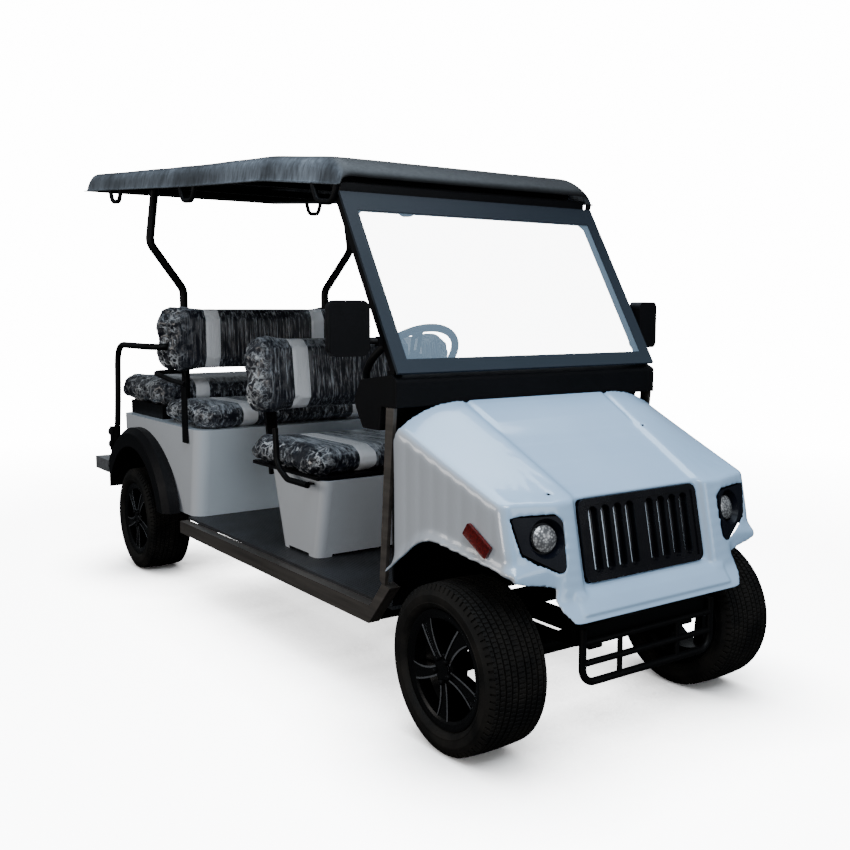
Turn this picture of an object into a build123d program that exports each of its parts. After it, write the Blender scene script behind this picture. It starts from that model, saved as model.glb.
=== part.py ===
from build123d import *
import math
import os

# Six-seat electric golf cart.  Millimetres, Z up, the nose points along -Y.
# The origin lies on the ground, in the middle of the cart's length and width.
# Distances "aft" run backwards from the front axle.  Heights go through up(), which
# measures them from the frame's top, so that larger tyres lift the whole body.

# ---- Driving dimensions: stance and wheels ----
wheelbase = 2520
front_overhang = 300
rear_overhang = 900
track = 949
tyre_diameter = 488
tyre_width = 205
tyre_wall = 14
bead_radius = 152
flange_radius = 170
rim_width = 176
flange_thickness = 10
rim_wall = 8
well_depth = 14
spoke_count = 5
spoke_depth = 34
spoke_sweep = 10
hub_radius = 44
hub_length = 54
stub_radius = 20
bearing_clearance = 0.05
seat_gap = 0.3

# ---- Steering ----
kingpin_inset = 90.5
kingpin_radius = 12
steering_arm = 110
arm_drop = 48
tie_rod_radius = 9
pin_radius = 6
open_eye_clearance = 0.6
steering_wheel_diameter = 350
steering_wheel_x = -255
wheel_lean = 44.4

# ---- Chassis ----
axle_to_frame = 78
rail_x = 190
rail_width = 36
rail_height = 50
floor_thickness = 12
axle_tube_radius = 30
leaf_width = 44
leaf_rise = 22
spring_half = 218
spring_pad = 36
bumper_half = 280
bumper_front = -238
bumper_depth = 23
guard_radius = 11
guard_half = 265

# ---- Body widths and shells ----
body_half = 550
cowl_wall = 6
ridge_recess = 10
face_recess = 20
dash_wall = 8
screen_margin = 10
screen_thickness = 10
sill_width = 40
sill_height = 52
strip_thickness = 12

# ---- Seats ----
base_wall = 8
cushion_half = 500
backrest_half = 480
base_height = 328
cushion_height = 438
lid_thickness = 12
back_lean = 7
backrest_thickness = 140
seat_tube_radius = 11

# ---- Roof and posts ----
roof_half = 552
roof_wall = 8
frame_tube = 30
frame_drop = 8
rear_post_x = 375
post_radius = 19

# ---- Rear body and step ----
rear_body_height = 413
body_wall = 6
arch_radius = 350
flare_radius = 440
liner_wall = 4
step_half = 480
step_height = 115
step_plate = 6

# ---- Places that follow from them ----
front_axle_y = -(wheelbase + rear_overhang - front_overhang) / 2
hub_z = tyre_diameter / 2
floor_z = hub_z + axle_to_frame
rear_axle = wheelbase
kingpin_x = track / 2 - kingpin_inset
step_rear = rear_axle + rear_overhang
step_front = step_rear - 220
dash_half = body_half - 5
screen_half = body_half - screen_margin
sill_x = body_half - sill_width / 2 - 3


# ---- Helpers ----
def aft(distance):
    """Y of a point that lies so far behind the front axle."""
    return front_axle_y + distance


def up(height):
    """Z of a point that lies so far above the frame's top."""
    return floor_z + height


def block(x0, x1, y0, y1, z0, z1):
    """Box between two corners."""
    return Pos((x0 + x1) / 2, (y0 + y1) / 2, (z0 + z1) / 2) * Box(x1 - x0, y1 - y0, z1 - z0)


def outline_face(points, radius):
    """Closed outline as a face, sharp with radius None, or with one radius or one for each corner."""
    if radius is None:
        return make_face(Polyline(*points, close=True))
    return make_face(FilletPolyline(*points, radius=radius, close=True))


def side_slab(outline, x0, x1, radius=None):
    """Side outline, as (distance aft, height above the frame), extruded from x0 to x1."""
    points = [(x0, aft(distance), up(height)) for distance, height in outline]
    return extrude(outline_face(points, radius), amount=x1 - x0, dir=(1, 0, 0))


def front_slab(outline, start, end, radius=None):
    """Front outline, as (x, height above the frame), extruded between two distances aft."""
    points = [(x, aft(start), up(height)) for x, height in outline]
    return extrude(outline_face(points, radius), amount=end - start, dir=(0, 1, 0))


def plan_slab(outline, low, high, radius=None):
    """Plan outline, as (x, distance aft), extruded between two heights above the frame."""
    points = [(x, aft(distance), up(low)) for x, distance in outline]
    return extrude(outline_face(points, radius), amount=high - low, dir=(0, 0, 1))


def disc(radius, x0, x1, y=0, z=0):
    """Cylinder about a line along X."""
    return Pos(x0, y, z) * Rot(0, 90, 0) * Cylinder(radius, x1 - x0, align=(Align.CENTER, Align.CENTER, Align.MIN))


def rod(start, end, radius):
    """Straight round bar between two points."""
    path = Line(start, end)
    return sweep(Plane(origin=start, z_dir=path % 0) * Circle(radius), path=path)


def bent_tube(points, radius, bend):
    """Round tube along straight runs joined by bends."""
    path = FilletPolyline(*points, radius=bend)
    return sweep(Plane(origin=points[0], z_dir=path % 0) * Circle(radius), path=path)


def placed(points):
    """Points given as (x, distance aft, height above the frame)."""
    return [(x, aft(distance), up(height)) for x, distance, height in points]


def mirrored(shape):
    """The same piece on the cart's other side."""
    return mirror(shape, about=Plane.YZ)


def pair(shape):
    """A piece and its mirror image, as one node."""
    return shape + mirrored(shape)


def joined(shapes):
    """Several pieces as one node."""
    total = None
    for shape in shapes:
        total = shape if total is None else total + shape
    return total


parts = {}


# ---- Wheels: tyre and alloy rim about the X axis, the outer face towards +X ----
seat_half = rim_width / 2 - flange_thickness
bead_seat = bead_radius - seat_gap
face_x = rim_width / 2 - 4
barrel_radius = bead_seat - rim_wall


def tyre():
    outer = tyre_diameter / 2
    half = tyre_width / 2
    seat = seat_half - seat_gap
    bulge = outer - 42
    outside = [
        (seat, bead_radius), (seat, flange_radius + 2), (half - 5, flange_radius + 9), (half, bulge),
        (half - 12, outer - 12), (half - 30, outer)]
    inside = [(seat - tyre_wall, bead_radius), (half - tyre_wall - 4, bulge - 6), (half - 40, outer - tyre_wall)]
    right = outside[::-1] + inside
    left = [(-x, radius) for x, radius in reversed(right)]
    return revolve(outline_face([(x, radius, 0) for x, radius in right + left], None), Axis.X)


def spoke():
    """One spoke along +Z: it widens and sweeps to one side, with a shallow channel in its face."""
    root = hub_radius - 10
    tip = flange_radius - 9
    middle = (root + tip) / 2

    def edge(side, margin):
        low = (face_x, side * (15 - margin), root)
        high = (face_x, side * (31 - margin) + spoke_sweep, tip - margin)
        bend = (face_x, side * (19 - margin) - spoke_sweep / 3, middle)
        return low, bend, high

    def blade(margin, depth):
        left = ThreePointArc(*edge(-1, margin))
        right = ThreePointArc(*edge(1, margin))
        outline = Curve() + [left, right, Line(left @ 0, right @ 0), Line(left @ 1, right @ 1)]
        return extrude(make_face(outline), amount=depth, dir=(-1, 0, 0))

    room = disc(bead_seat - 4, face_x - spoke_depth - 1, face_x + 1)
    return (blade(0, spoke_depth) - blade(5, 3)) & room


def rim():
    half = rim_width / 2
    well = bead_seat - well_depth
    outer_side = [
        (-half, flange_radius), (-seat_half, flange_radius), (-seat_half, bead_seat), (-44, bead_seat),
        (-30, well), (18, well), (32, bead_seat), (seat_half, bead_seat), (seat_half, flange_radius),
        (half, flange_radius), (half, flange_radius - 6), (face_x + 1, flange_radius - 18)]
    inner_side = [
        (face_x - 3, barrel_radius), (40, barrel_radius), (24, well - rim_wall), (-36, well - rim_wall),
        (-50, barrel_radius), (-half, barrel_radius)]
    barrel = revolve(outline_face([(x, radius, 0) for x, radius in outer_side + inner_side], None), Axis.X)
    wheel = barrel
    for index in range(spoke_count):
        wheel += Rot(360 / spoke_count * index + 180, 0, 0) * spoke()
    wheel += disc(hub_radius, face_x - hub_length, face_x - 4)
    wheel += disc(hub_radius - 16, face_x - 10, half)
    return wheel - disc(stub_radius + bearing_clearance, face_x - hub_length - 1, face_x - 14)


wheels = (  # name, side, distance aft
    ("front_right", -1, 0),
    ("front_left", 1, 0),
    ("rear_right", -1, rear_axle),
    ("rear_left", 1, rear_axle),
)
for name, side, distance in wheels:
    place = Pos(side * track / 2, aft(distance), hub_z) * Rot(0, 0, 0 if side > 0 else 180)
    parts["tyre_" + name] = place * tyre()
    parts["rim_" + name] = place * rim()


# ---- Steering knuckles, tie rod and axles ----
stub_end = track / 2 + face_x - 16
sleeve_half = 40
yoke_half = 62
tie_rod_z = hub_z - arm_drop
pin_y = aft(steering_arm)
eye_radius = pin_radius + 9
boss_radius = kingpin_radius + 12


def knuckle():
    """Knuckle on the +X side: sleeve on the kingpin, stub axle and steering arm with its pin."""
    y = aft(0)
    arm_low = tie_rod_z + 16
    arm_high = arm_low + 14
    body = Pos(kingpin_x, y, hub_z) * Cylinder(boss_radius, 2 * sleeve_half)
    body += disc(stub_radius, kingpin_x, stub_end, y, hub_z)
    body += disc(stub_radius + 8, kingpin_x + 10, kingpin_x + 38, y, hub_z)
    body += block(kingpin_x - 13, kingpin_x + 13, y, pin_y, arm_low, arm_high)
    body += Pos(kingpin_x, pin_y, (arm_low + arm_high) / 2) * Cylinder(16, arm_high - arm_low)
    body += Pos(kingpin_x, pin_y, (tie_rod_z - 10 + arm_low) / 2) * Cylinder(pin_radius, arm_low - tie_rod_z + 10)
    return body - Pos(kingpin_x, y, hub_z) * Cylinder(kingpin_radius + bearing_clearance, 2 * sleeve_half + 2)


parts["knuckle_left"] = knuckle()
parts["knuckle_right"] = mirrored(knuckle())

link_half = kingpin_x - eye_radius + 4
link = disc(tie_rod_radius, -link_half, link_half, pin_y, tie_rod_z)
for side, clearance in ((-1, bearing_clearance), (1, open_eye_clearance)):
    place = Pos(side * kingpin_x, pin_y, tie_rod_z)
    link += place * Cylinder(eye_radius, 20)
    link -= place * Cylinder(pin_radius + clearance, 22)
parts["tie_rod"] = link

beam_end = kingpin_x - 60
axle_beam = disc(axle_tube_radius, -beam_end, beam_end, aft(0), hub_z)
yoke = block(beam_end - 14, beam_end + 20, aft(-26), aft(26), hub_z - yoke_half, hub_z + yoke_half)
lug_gap = 1
for level in (-1, 1):
    lug_z = hub_z + level * (sleeve_half + lug_gap + (yoke_half - sleeve_half) / 2)
    yoke += block(beam_end + 10, kingpin_x, aft(-20), aft(20), lug_z - 9, lug_z + 9)
    yoke += Pos(kingpin_x, aft(0), lug_z) * Cylinder(20, 18)
yoke += Pos(kingpin_x, aft(0), hub_z) * Cylinder(kingpin_radius, 2 * yoke_half)


def spring_seat(distance):
    """Pad that carries a leaf spring on an axle."""
    return block(rail_x - 26, rail_x + 26, aft(distance - 45), aft(distance + 45), hub_z + spring_pad - 14, hub_z + spring_pad)


parts["front_axle"] = axle_beam + pair(yoke) + pair(spring_seat(0))

drum_inner = track / 2 - rim_width / 2 + 6
drum_outer = track / 2 - 20
housing = disc(34, -drum_inner, drum_inner, aft(rear_axle), hub_z)
housing += disc(86, -90, 50, aft(rear_axle), hub_z)
housing += disc(66, 50, 155, aft(rear_axle - 40), hub_z + 8)
drum = disc(92, drum_inner, drum_outer, aft(rear_axle), hub_z)
drum += disc(stub_radius, drum_outer, stub_end, aft(rear_axle), hub_z)
parts["rear_axle"] = housing + pair(drum) + pair(spring_seat(rear_axle))

# ---- Leaf springs ----
leaf_low = hub_z + spring_pad
leaf_end = 8
leaf_middle = 16
eye_size = 10


def leaf(axle):
    """Curved pack of leaves with an eye at each end, about x = 0."""
    ends = [aft(axle - spring_half), aft(axle + spring_half)]
    low = ThreePointArc(
        (0, ends[0], leaf_low + leaf_rise), (0, aft(axle), leaf_low), (0, ends[1], leaf_low + leaf_rise))
    high = ThreePointArc(
        (0, ends[0], leaf_low + leaf_rise + leaf_end), (0, aft(axle), leaf_low + leaf_middle),
        (0, ends[1], leaf_low + leaf_rise + leaf_end))
    outline = Curve() + [low, high, Line(low @ 0, high @ 0), Line(low @ 1, high @ 1)]
    pack = extrude(make_face(outline), amount=leaf_width / 2, dir=(1, 0, 0), both=True)
    for y in ends:
        pack += disc(eye_size, -leaf_width / 2, leaf_width / 2, y, leaf_low + leaf_rise + 2)
    return pack


parts["leaf_springs"] = joined([pair(Pos(rail_x, 0, 0) * leaf(axle)) for axle in (0, rear_axle)])

# ---- Chassis frame: dropped middle rails between the raised ends, cross members and outriggers ----
rail_in = rail_x - rail_width / 2
rail_out = rail_x + rail_width / 2
bumper_rear = bumper_front + bumper_depth
frame_rails = (  # start, end, height of the underside above the frame's datum
    (bumper_front + 3, 328, 0),
    (236, rear_axle - 290, -rail_height),
    (rear_axle - 390, rear_axle + 650, 0),
)
cross_members = (  # distance aft, height of the underside
    (-200, 0),
    (150, 0),
    (700, -rail_height),
    (1250, -rail_height),
    (rear_axle - 770, -rail_height),
    (rear_axle - 340, 0),
    (rear_axle + 300, 0),
    (rear_axle + 620, 0),
)
outriggers = (420, 1150, rear_axle - 640)
member_half = 20
frame = joined([
    pair(block(rail_in, rail_out, aft(start), aft(end), up(low), up(low + rail_height)))
    for start, end, low in frame_rails])
for distance, low in cross_members:
    frame += block(
        -rail_in, rail_in, aft(distance - member_half), aft(distance + member_half), up(low), up(low + rail_height))
for distance in outriggers:
    frame += pair(block(
        rail_out, sill_x - sill_width / 2, aft(distance - member_half), aft(distance + member_half),
        up(4 - rail_height), up(-4)))
hanger_low = leaf_low + leaf_rise + 2 + eye_size + seat_gap
for axle in (0, rear_axle):
    for distance in (axle - spring_half, axle + spring_half):
        frame += pair(block(rail_in, rail_out, aft(distance - 12), aft(distance + 12), hanger_low, up(0) + 1))
frame += block(-bumper_half, bumper_half, aft(bumper_front), aft(bumper_rear), up(0), up(rail_height))
parts["chassis_frame"] = frame

# ---- Front guard: a tube ladder under the nose ----
guard_aft = bumper_front - guard_radius - seat_gap
guard_top = 50
guard_low = -107
guard_rungs = (8, -50)
guard = bent_tube(
    placed([(-guard_half, guard_aft, guard_top), (-guard_half, guard_aft, guard_low),
            (guard_half, guard_aft, guard_low), (guard_half, guard_aft, guard_top)]), guard_radius, 45)
for height in guard_rungs:
    guard += disc(guard_radius - 1.5, -guard_half, guard_half, aft(guard_aft), up(height))
for x in (-120, 120):
    guard += rod((x, aft(guard_aft), up(guard_low)), (x, aft(guard_aft), up(guard_rungs[0])), guard_radius - 3)
parts["front_guard"] = guard

# ---- Floor and side rails with their upturned front ends ----
cabin_front = 335
floor_rear = rear_axle - 530
mat_half = sill_x - sill_width / 2 - seat_gap
parts["floor_pan"] = block(-mat_half, mat_half, aft(cabin_front), aft(floor_rear), up(0), up(floor_thickness))
sill_top = -2
sill_low = sill_top - sill_height
sill_outline = [
    (412, sill_low), (floor_rear, sill_low), (floor_rear, sill_top), (405, sill_top + 6), (332, 92), (290, 84)]
strip_outline = [(316, 88), (334, 92), (345, 100), (303, 632.5), (262, 632.5)]
sill = side_slab(sill_outline, sill_x - sill_width / 2, sill_x + sill_width / 2)
strip = side_slab(strip_outline, sill_x + sill_width / 2 - strip_thickness, sill_x + sill_width / 2)
parts["side_rails"] = pair(sill + strip)

# ---- Front cowl: lofted hood, stepped face, lower nose, arches ----
nose_front = front_overhang
cowl_rear = 250
cowl_side_rear = 291
cowl_stations = (  # distance aft, ridge half-width, ridge height, side half-width, shoulder height
    (cowl_rear, 304, 648, body_half, 575),
    (-160, 264, 429, body_half - 42, 418),
)
face_top = (-190, 395)
face_low = (-236, 172)
face_slope = (face_top[0] - face_low[0]) / (face_top[1] - face_low[1])
face_lean = math.degrees(math.atan(face_slope))
on_face = Pos(0, aft((face_top[0] + face_low[0]) / 2), up((face_top[1] + face_low[1]) / 2)) * Rot(-face_lean, 0, 0)
ledge_height = 156
nose_bottom = 82
shell_low = 38
# Half plan of the face in its own plane: x, depth behind the grille's seat, corner radius
face_plan = (
    (252, 0, 6),
    (272, -face_recess, 10),
    (338, -face_recess - 2, 40),
    (480, 3, 24),
    (508, 26, 18),
    (body_half - 20, 160, 5),
    (body_half + 20, 560, 5),
)
# Lower nose in plan: x, distance aft
nose_plan = ((350, -nose_front), (398, -285), (463, -250), (505, -220), (520, -150))
# Edge of the lower nose and fender seen from the front: x, height
skirt_edge = ((350, nose_bottom), (398, 184), (463, 221), (505, 214), (body_half + 10, 226))
arch_edge = ((-216, shell_low - 12), (-216, 224), (110, 276), (300, 128), (300, shell_low - 12))
arch_radii = [2, 10, 130, 10, 2]
lip_width = 24


def cowl_section(distance, inset):
    """Cross-section of the hood at a distance aft, inset by the wall for the hollow."""
    rear, front = cowl_stations
    share = (rear[0] - distance) / (rear[0] - front[0])
    ridge_x, ridge_z, side_x, side_z = (r + (f - r) * share for r, f in zip(rear[1:], front[1:]))
    ridge_z -= inset
    side_x -= inset
    side_z -= inset
    low = shell_low - 2 * inset
    step = 14
    half = [
        (ridge_x - step, ridge_z - ridge_recess), (ridge_x, ridge_z), (side_x, side_z), (side_x, low)]
    radii = [6, 12, 34 - inset, 2]
    points = half + [(-x, z) for x, z in reversed(half)]
    corners = [(x, aft(distance), up(z)) for x, z in points]
    return outline_face(corners, radii + radii[::-1])


def cowl_form(inset):
    """Outer form of the cowl, or its hollow when inset by the wall."""
    hood = loft([cowl_section(cowl_side_rear + 8, inset), cowl_section(-nose_front - 20, inset)], ruled=True)
    half = [(x - inset * (depth > 5), depth) for x, depth, radius in face_plan]
    radii = [radius for x, depth, radius in face_plan]
    points = [(x, depth + inset, 0) for x, depth in half]
    points += [(-x, depth, 0) for x, depth, height in reversed(points)]
    face = on_face * extrude(outline_face(points, radii + radii[::-1]), amount=460, both=True)
    rear_z = cowl_stations[0][2]
    slope = (rear_z - cowl_stations[1][2]) / (cowl_rear - cowl_stations[1][0])
    brow_aft = face_top[0] - face_recess + inset
    brow_z = (rear_z - inset + slope * (brow_aft - cowl_rear - face_slope * face_top[1])) / (1 - slope * face_slope)
    brow_aft += face_slope * (brow_z - face_top[1])
    open_rear = 2 * inset
    profile = [
        (brow_aft - 0.2, brow_z), (cowl_rear + open_rear, rear_z - inset + slope * open_rear + 1),
        (cowl_rear + open_rear, 583), (271 + open_rear, 530), (cowl_side_rear + open_rear, 138),
        (cowl_side_rear + open_rear, shell_low - 2 * inset), (-nose_front - 60, shell_low - 2 * inset)]
    upper = hood & face & side_slab(profile, -body_half, body_half, [30, 4, 20, 40, 10, 2, 2])
    low = shell_low - 2 * inset
    nose_profile = [
        (cowl_side_rear, low), (cowl_side_rear, ledge_height - inset), (-243 + inset, ledge_height - inset),
        (-264 + inset, ledge_height - 16 - inset / 2), (-nose_front + inset, 92), (-nose_front + inset, low)]
    plan = [(x - inset, distance + inset) for x, distance in nose_plan]
    plan += [(-x, distance) for x, distance in reversed(plan)]
    nose = side_slab(nose_profile, -body_half, body_half, [2, 6, 10, 14, 16, 2])
    nose &= plan_slab(plan, low, ledge_height + 5)
    return upper + nose


grille_width = 485
grille_height = 230
grille_depth = 28
grille_proud = 6
grille_corner = 24
slot_pitch = 48.6
slot_centre = 41
slot_width = 36
slot_length = 186
slots_each_side = 4
pocket = grille_depth - grille_proud + seat_gap
lamp_x = 377
lamp_rise = 27
lens_radius = 36
dish_radius = 66
bezel_depth = 34
bezel_proud = 4
# Bezel outline about the lamp's axis: x outwards, height, corner radius
bezel_outline = ((101, 66, 8), (-56, 55, 26), (-50, -108, 16), (80, -31, 12))
# The lamp's own plane turns outwards with the face
lamp_turn = 11
on_lamp = on_face * Pos(lamp_x, -face_recess + 8, lamp_rise) * Rot(0, 0, lamp_turn)


def bezel_form(margin, y0, y1):
    """Bezel outline moved in by a margin and extruded along the lamp's axis, into the cowl."""
    points = [(x, y0, z) for x, z, radius in bezel_outline]
    plate = extrude(outline_face(points, [radius for x, z, radius in bezel_outline]), amount=y1 - y0, dir=(0, 1, 0))
    return scale(plate, by=(1 - margin / 75, 1, 1 - margin / 75)) if margin else plate


outer_cowl = cowl_form(0)
cowl = outer_cowl - cowl_form(cowl_wall)
tray = on_face * block(
    -grille_width / 2 - cowl_wall, grille_width / 2 + cowl_wall, -5, pocket + cowl_wall,
    -grille_height / 2 - cowl_wall, grille_height / 2 + cowl_wall)
cowl += tray & outer_cowl
cowl -= on_face * block(
    -grille_width / 2 - seat_gap, grille_width / 2 + seat_gap, -60, pocket,
    -grille_height / 2 - seat_gap, grille_height / 2 + seat_gap)
arch_cut = side_slab(arch_edge, 350, body_half + 20, arch_radii)
arch_grown = side_slab(
    [(distance - (cowl_wall if distance < 0 else -cowl_wall), height + cowl_wall) for distance, height in arch_edge],
    350, body_half + 20, arch_radii)
cowl += pair(arch_grown) & (outer_cowl - cowl_form(lip_width))
cowl -= pair(arch_cut)
skirt = [(x, height) for x, height in skirt_edge] + [(body_half + 10, shell_low - 20)]
skirt += [(-x, height) for x, height in reversed(skirt)]
cowl -= front_slab(skirt, -nose_front - 30, -150)
cowl -= pair(on_lamp * bezel_form(0, -60, 90))
parts["front_cowl"] = cowl

# ---- Grille: deep vanes between round-ended slots ----
panel_face = outline_face(
    [(x * grille_width / 2, -grille_proud, z * grille_height / 2) for x, z in ((-1, -1), (1, -1), (1, 1), (-1, 1))],
    grille_corner)
panel = extrude(panel_face, amount=grille_depth, dir=(0, 1, 0))
panel -= Pos(0, -grille_proud, 0) * Box(grille_width - 36, 8, grille_height - 34)
for side in (-1, 1):
    for index in range(slots_each_side):
        x = side * (slot_centre + index * slot_pitch)
        slot = SlotOverall(slot_length, slot_width, rotation=90)
        panel -= Pos(x, 40, 0) * Rot(90, 0, 0) * extrude(slot, amount=80)
parts["grille"] = on_face * panel

# ---- Headlamps and side markers ----
bezel = bezel_form(0.6, -bezel_proud, bezel_depth - bezel_proud)
dish = Pos(0, -bezel_proud, 0) * Rot(-90, 0, 0) * Cone(
    dish_radius * 0.82, lens_radius + 6, bezel_depth - 10, align=(Align.CENTER, Align.CENTER, Align.MIN))
bezel -= dish
bezel -= Rot(-90, 0, 0) * Cylinder(lens_radius + seat_gap, 3 * bezel_depth)
parts["headlamp_bezels"] = pair(on_lamp * bezel)
lens_back = bezel_depth - bezel_proud
lens = Pos(0, lens_back, 0) * Rot(90, 0, 0) * Cylinder(lens_radius, lens_back - 8, align=(Align.CENTER, Align.CENTER, Align.MIN))
lens += Pos(0, 8 + 60, 0) * Sphere(math.hypot(60, lens_radius)) & Rot(90, 0, 0) * Cylinder(lens_radius, 60)
parts["headlamp_lenses"] = pair(on_lamp * lens)

marker_aft = -105
marker_height = 304
marker_share = (cowl_rear - marker_aft) / (cowl_rear - cowl_stations[1][0])
marker_x = body_half - 42 * marker_share
side_taper = math.degrees(math.atan(42 / (cowl_rear - cowl_stations[1][0])))
marker = Pos(marker_x + 4 + seat_gap, aft(marker_aft), up(marker_height)) * Rot(0, 0, -side_taper) * Rot(-42, 0, 0)
marker *= Box(8, 98, 38)
parts["side_markers"] = pair(marker)

# ---- Dash cowl with the firewall ----
dash_front = cowl_rear + seat_gap
dash_low = 634
dash_top = 730
knee_height = 560
wheel_centre = (steering_wheel_x, aft(600), up(750))
wheel_axis = Vector(0, math.sin(math.radians(wheel_lean)), math.cos(math.radians(wheel_lean)))
on_column = Plane(origin=wheel_centre, z_dir=wheel_axis, x_dir=(1, 0, 0))
column_radius = 24
firewall_rear = cabin_front + dash_wall
dash_outline = [
    (dash_front, dash_low), (dash_front, dash_top - 14), (dash_front + 30, dash_top),
    (dash_front + 205, dash_top - 22), (dash_front + 240, dash_top - 92), (dash_front + 190, knee_height),
    (dash_front + 92, knee_height), (dash_front + 84, dash_low)]
dash_radii = [3, 14, 10, 30, 25, 14, 3, 3]
dash = side_slab(dash_outline, -dash_half, dash_half, dash_radii)
hollow_outline = [
    (dash_front + 98, knee_height - 20), (dash_front + 98, dash_top - 26), (dash_front + 198, dash_top - 32),
    (dash_front + 230, dash_top - 92), (dash_front + 178, knee_height - 20)]
dash -= side_slab(hollow_outline, -dash_half + dash_wall, dash_half - dash_wall)
firewall_half = mat_half - 5
dash += block(-firewall_half, firewall_half, aft(cabin_front), aft(firewall_rear), up(floor_thickness), up(dash_low + 20))
dash -= on_column * Pos(0, 0, -200) * Cylinder(column_radius + 1, 200)
parts["dash_cowl"] = dash

# ---- Windscreen, its border and the front posts ----
screen_low = (252, 734)
screen_high = (581, 1288)
border_side = 46
border_low = 46
border_high = 68
post_size = 30
glass_thickness = 4
screen_rise = screen_high[1] - screen_low[1]
screen_run = screen_high[0] - screen_low[0]
screen_lean = math.degrees(math.atan2(screen_run, screen_rise))
screen_length = math.hypot(screen_run, screen_rise)
on_screen = Pos(0, aft((screen_low[0] + screen_high[0]) / 2), up((screen_low[1] + screen_high[1]) / 2))
on_screen *= Rot(-screen_lean, 0, 0)
pane_half = screen_half - border_side
pane_low = -screen_length / 2 + border_low
pane_high = screen_length / 2 - border_high
border = Box(2 * screen_half, screen_thickness, screen_length)
border -= block(-pane_half, pane_half, -screen_length, screen_length, pane_low, pane_high)
parts["windscreen_border"] = on_screen * border
parts["windscreen_glass"] = on_screen * block(
    seat_gap - pane_half, pane_half - seat_gap, -glass_thickness / 2, glass_thickness / 2,
    pane_low + seat_gap, pane_high - seat_gap)
post_front = screen_thickness / 2
post_out = screen_half - 4
post_in = post_out - post_size
head_low = screen_length / 2 - 36
post = on_screen * block(post_in, post_out, post_front, post_front + post_size, 19 - screen_length / 2, screen_length / 2 - 2)
header = on_screen * block(-post_out, post_out, post_front, post_front + post_size, head_low, screen_length / 2 - 2)
gusset_size = 62
gusset = on_screen * extrude(
    outline_face(
        [(post_in + 1, post_front + 8, head_low + 1), (post_in + 1, post_front + 8, head_low - gusset_size),
         (post_in - gusset_size, post_front + 8, head_low + 1)], None), amount=5, dir=(0, 1, 0))
foot = block(post_in, post_out, aft(dash_front + 24), aft(dash_front + 62), up(dash_top) + seat_gap, up(dash_top + 12))

# ---- Roof: a canopy with a thin lip, lofted through its stations ----
roof_front = 573
roof_rear = rear_axle + 686
lip_line = ((roof_front, 1307), (roof_front + 541, 1375), (rear_axle - 687, 1426), (roof_rear, 1541))
roof_stations = (  # distance aft, crown height, inset of the side's foot, inset of its top, corner radius
    (roof_front, 26, 14, 40, 7),
    (roof_front + 110, 72, 12, 38, 20),
    (roof_front + 541, 86, 12, 40, 26),
    (rear_axle - 687, 88, 12, 40, 26),
    (roof_rear - 64, 84, 12, 40, 26),
    (roof_rear - 18, 40, 26, 52, 10),
)
lip_thickness = 7
frame_x = roof_half - 60
roof_bows = (700, 1500, rear_axle - 211, rear_axle + 530)


def lip_height(distance):
    """Height of the roof's lower edge at a distance aft."""
    for (d0, z0), (d1, z1) in zip(lip_line, lip_line[1:]):
        if distance <= d1:
            break
    return z0 + (z1 - z0) * (distance - d0) / (d1 - d0)


def roof_band(start, end, low, high, x0, x1):
    """Slab that follows the roof's slope between two distances, low to high above the lip."""
    stations = [start] + [d for d, z in lip_line if start < d < end] + [end]
    under = [(d, lip_height(d) + low) for d in stations]
    over = [(d, lip_height(d) + high) for d in reversed(stations)]
    return side_slab(under + over, x0, x1)


def roof_section(distance, crown, foot_inset, top_inset, radius, wall):
    """Half-round section of the canopy, or of its hollow when given the wall."""
    base = lip_height(distance) + (lip_thickness - 2 if not wall else -12)
    half = [
        (roof_half - foot_inset - wall, base),
        (roof_half - top_inset - wall, lip_height(distance) + crown - wall)]
    points = half + [(-x, z) for x, z in reversed(half)]
    corners = [(x, aft(distance), up(z)) for x, z in points]
    return outline_face(corners, [1, radius, radius, 1])


def canopy(wall):
    """The canopy's outer form, or its hollow."""
    shift = wall * 1.2
    last = len(roof_stations) - 1
    sections = []
    for index, (distance, crown, foot_inset, top_inset, radius) in enumerate(roof_stations):
        place = distance + (shift if index == 0 else -shift if index == last else 0)
        sections.append(roof_section(place, crown, foot_inset, top_inset, radius, wall))
    return loft(sections, ruled=True)


lip = roof_band(roof_front, roof_rear, 0, lip_thickness, -roof_half, roof_half)
roof = canopy(0) + lip
roof -= canopy(roof_wall)
bow_gap = frame_drop + frame_tube + seat_gap
for distance in roof_bows:
    roof += roof_band(distance - 10, distance + 10, bow_gap, 90, -frame_x + 30, frame_x - 30) & canopy(0)
parts["roof_shell"] = roof

rail_half = frame_tube / 2
roof_rails = pair(roof_band(
    roof_front + 90, roof_rear - 70, frame_drop, frame_drop + frame_tube, frame_x - rail_half, frame_x + rail_half))
for distance in roof_bows:
    roof_rails += roof_band(
        distance - rail_half, distance + rail_half, frame_drop, frame_drop + frame_tube, -frame_x, frame_x)
parts["roof_frame"] = roof_rails

strap_front = roof_front + 93
strap_rear = roof_front + 117
strap_top = frame_drop - seat_gap
strap = side_slab(
    [(screen_high[0] + 11, screen_high[1] - 18), (screen_high[0] + 25, screen_high[1] - 30),
     (strap_rear, lip_height(strap_rear) - 4), (strap_rear, lip_height(strap_rear) + strap_top),
     (strap_front, lip_height(strap_front) + strap_top)], frame_x - rail_half, frame_x + rail_half)
parts["front_posts"] = pair(post + foot + gusset + strap) + header

handle_radius = 8
handle_half = 55
handle_drop = 45
handle_places = (790, rear_axle - 670, rear_axle + 305)


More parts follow.
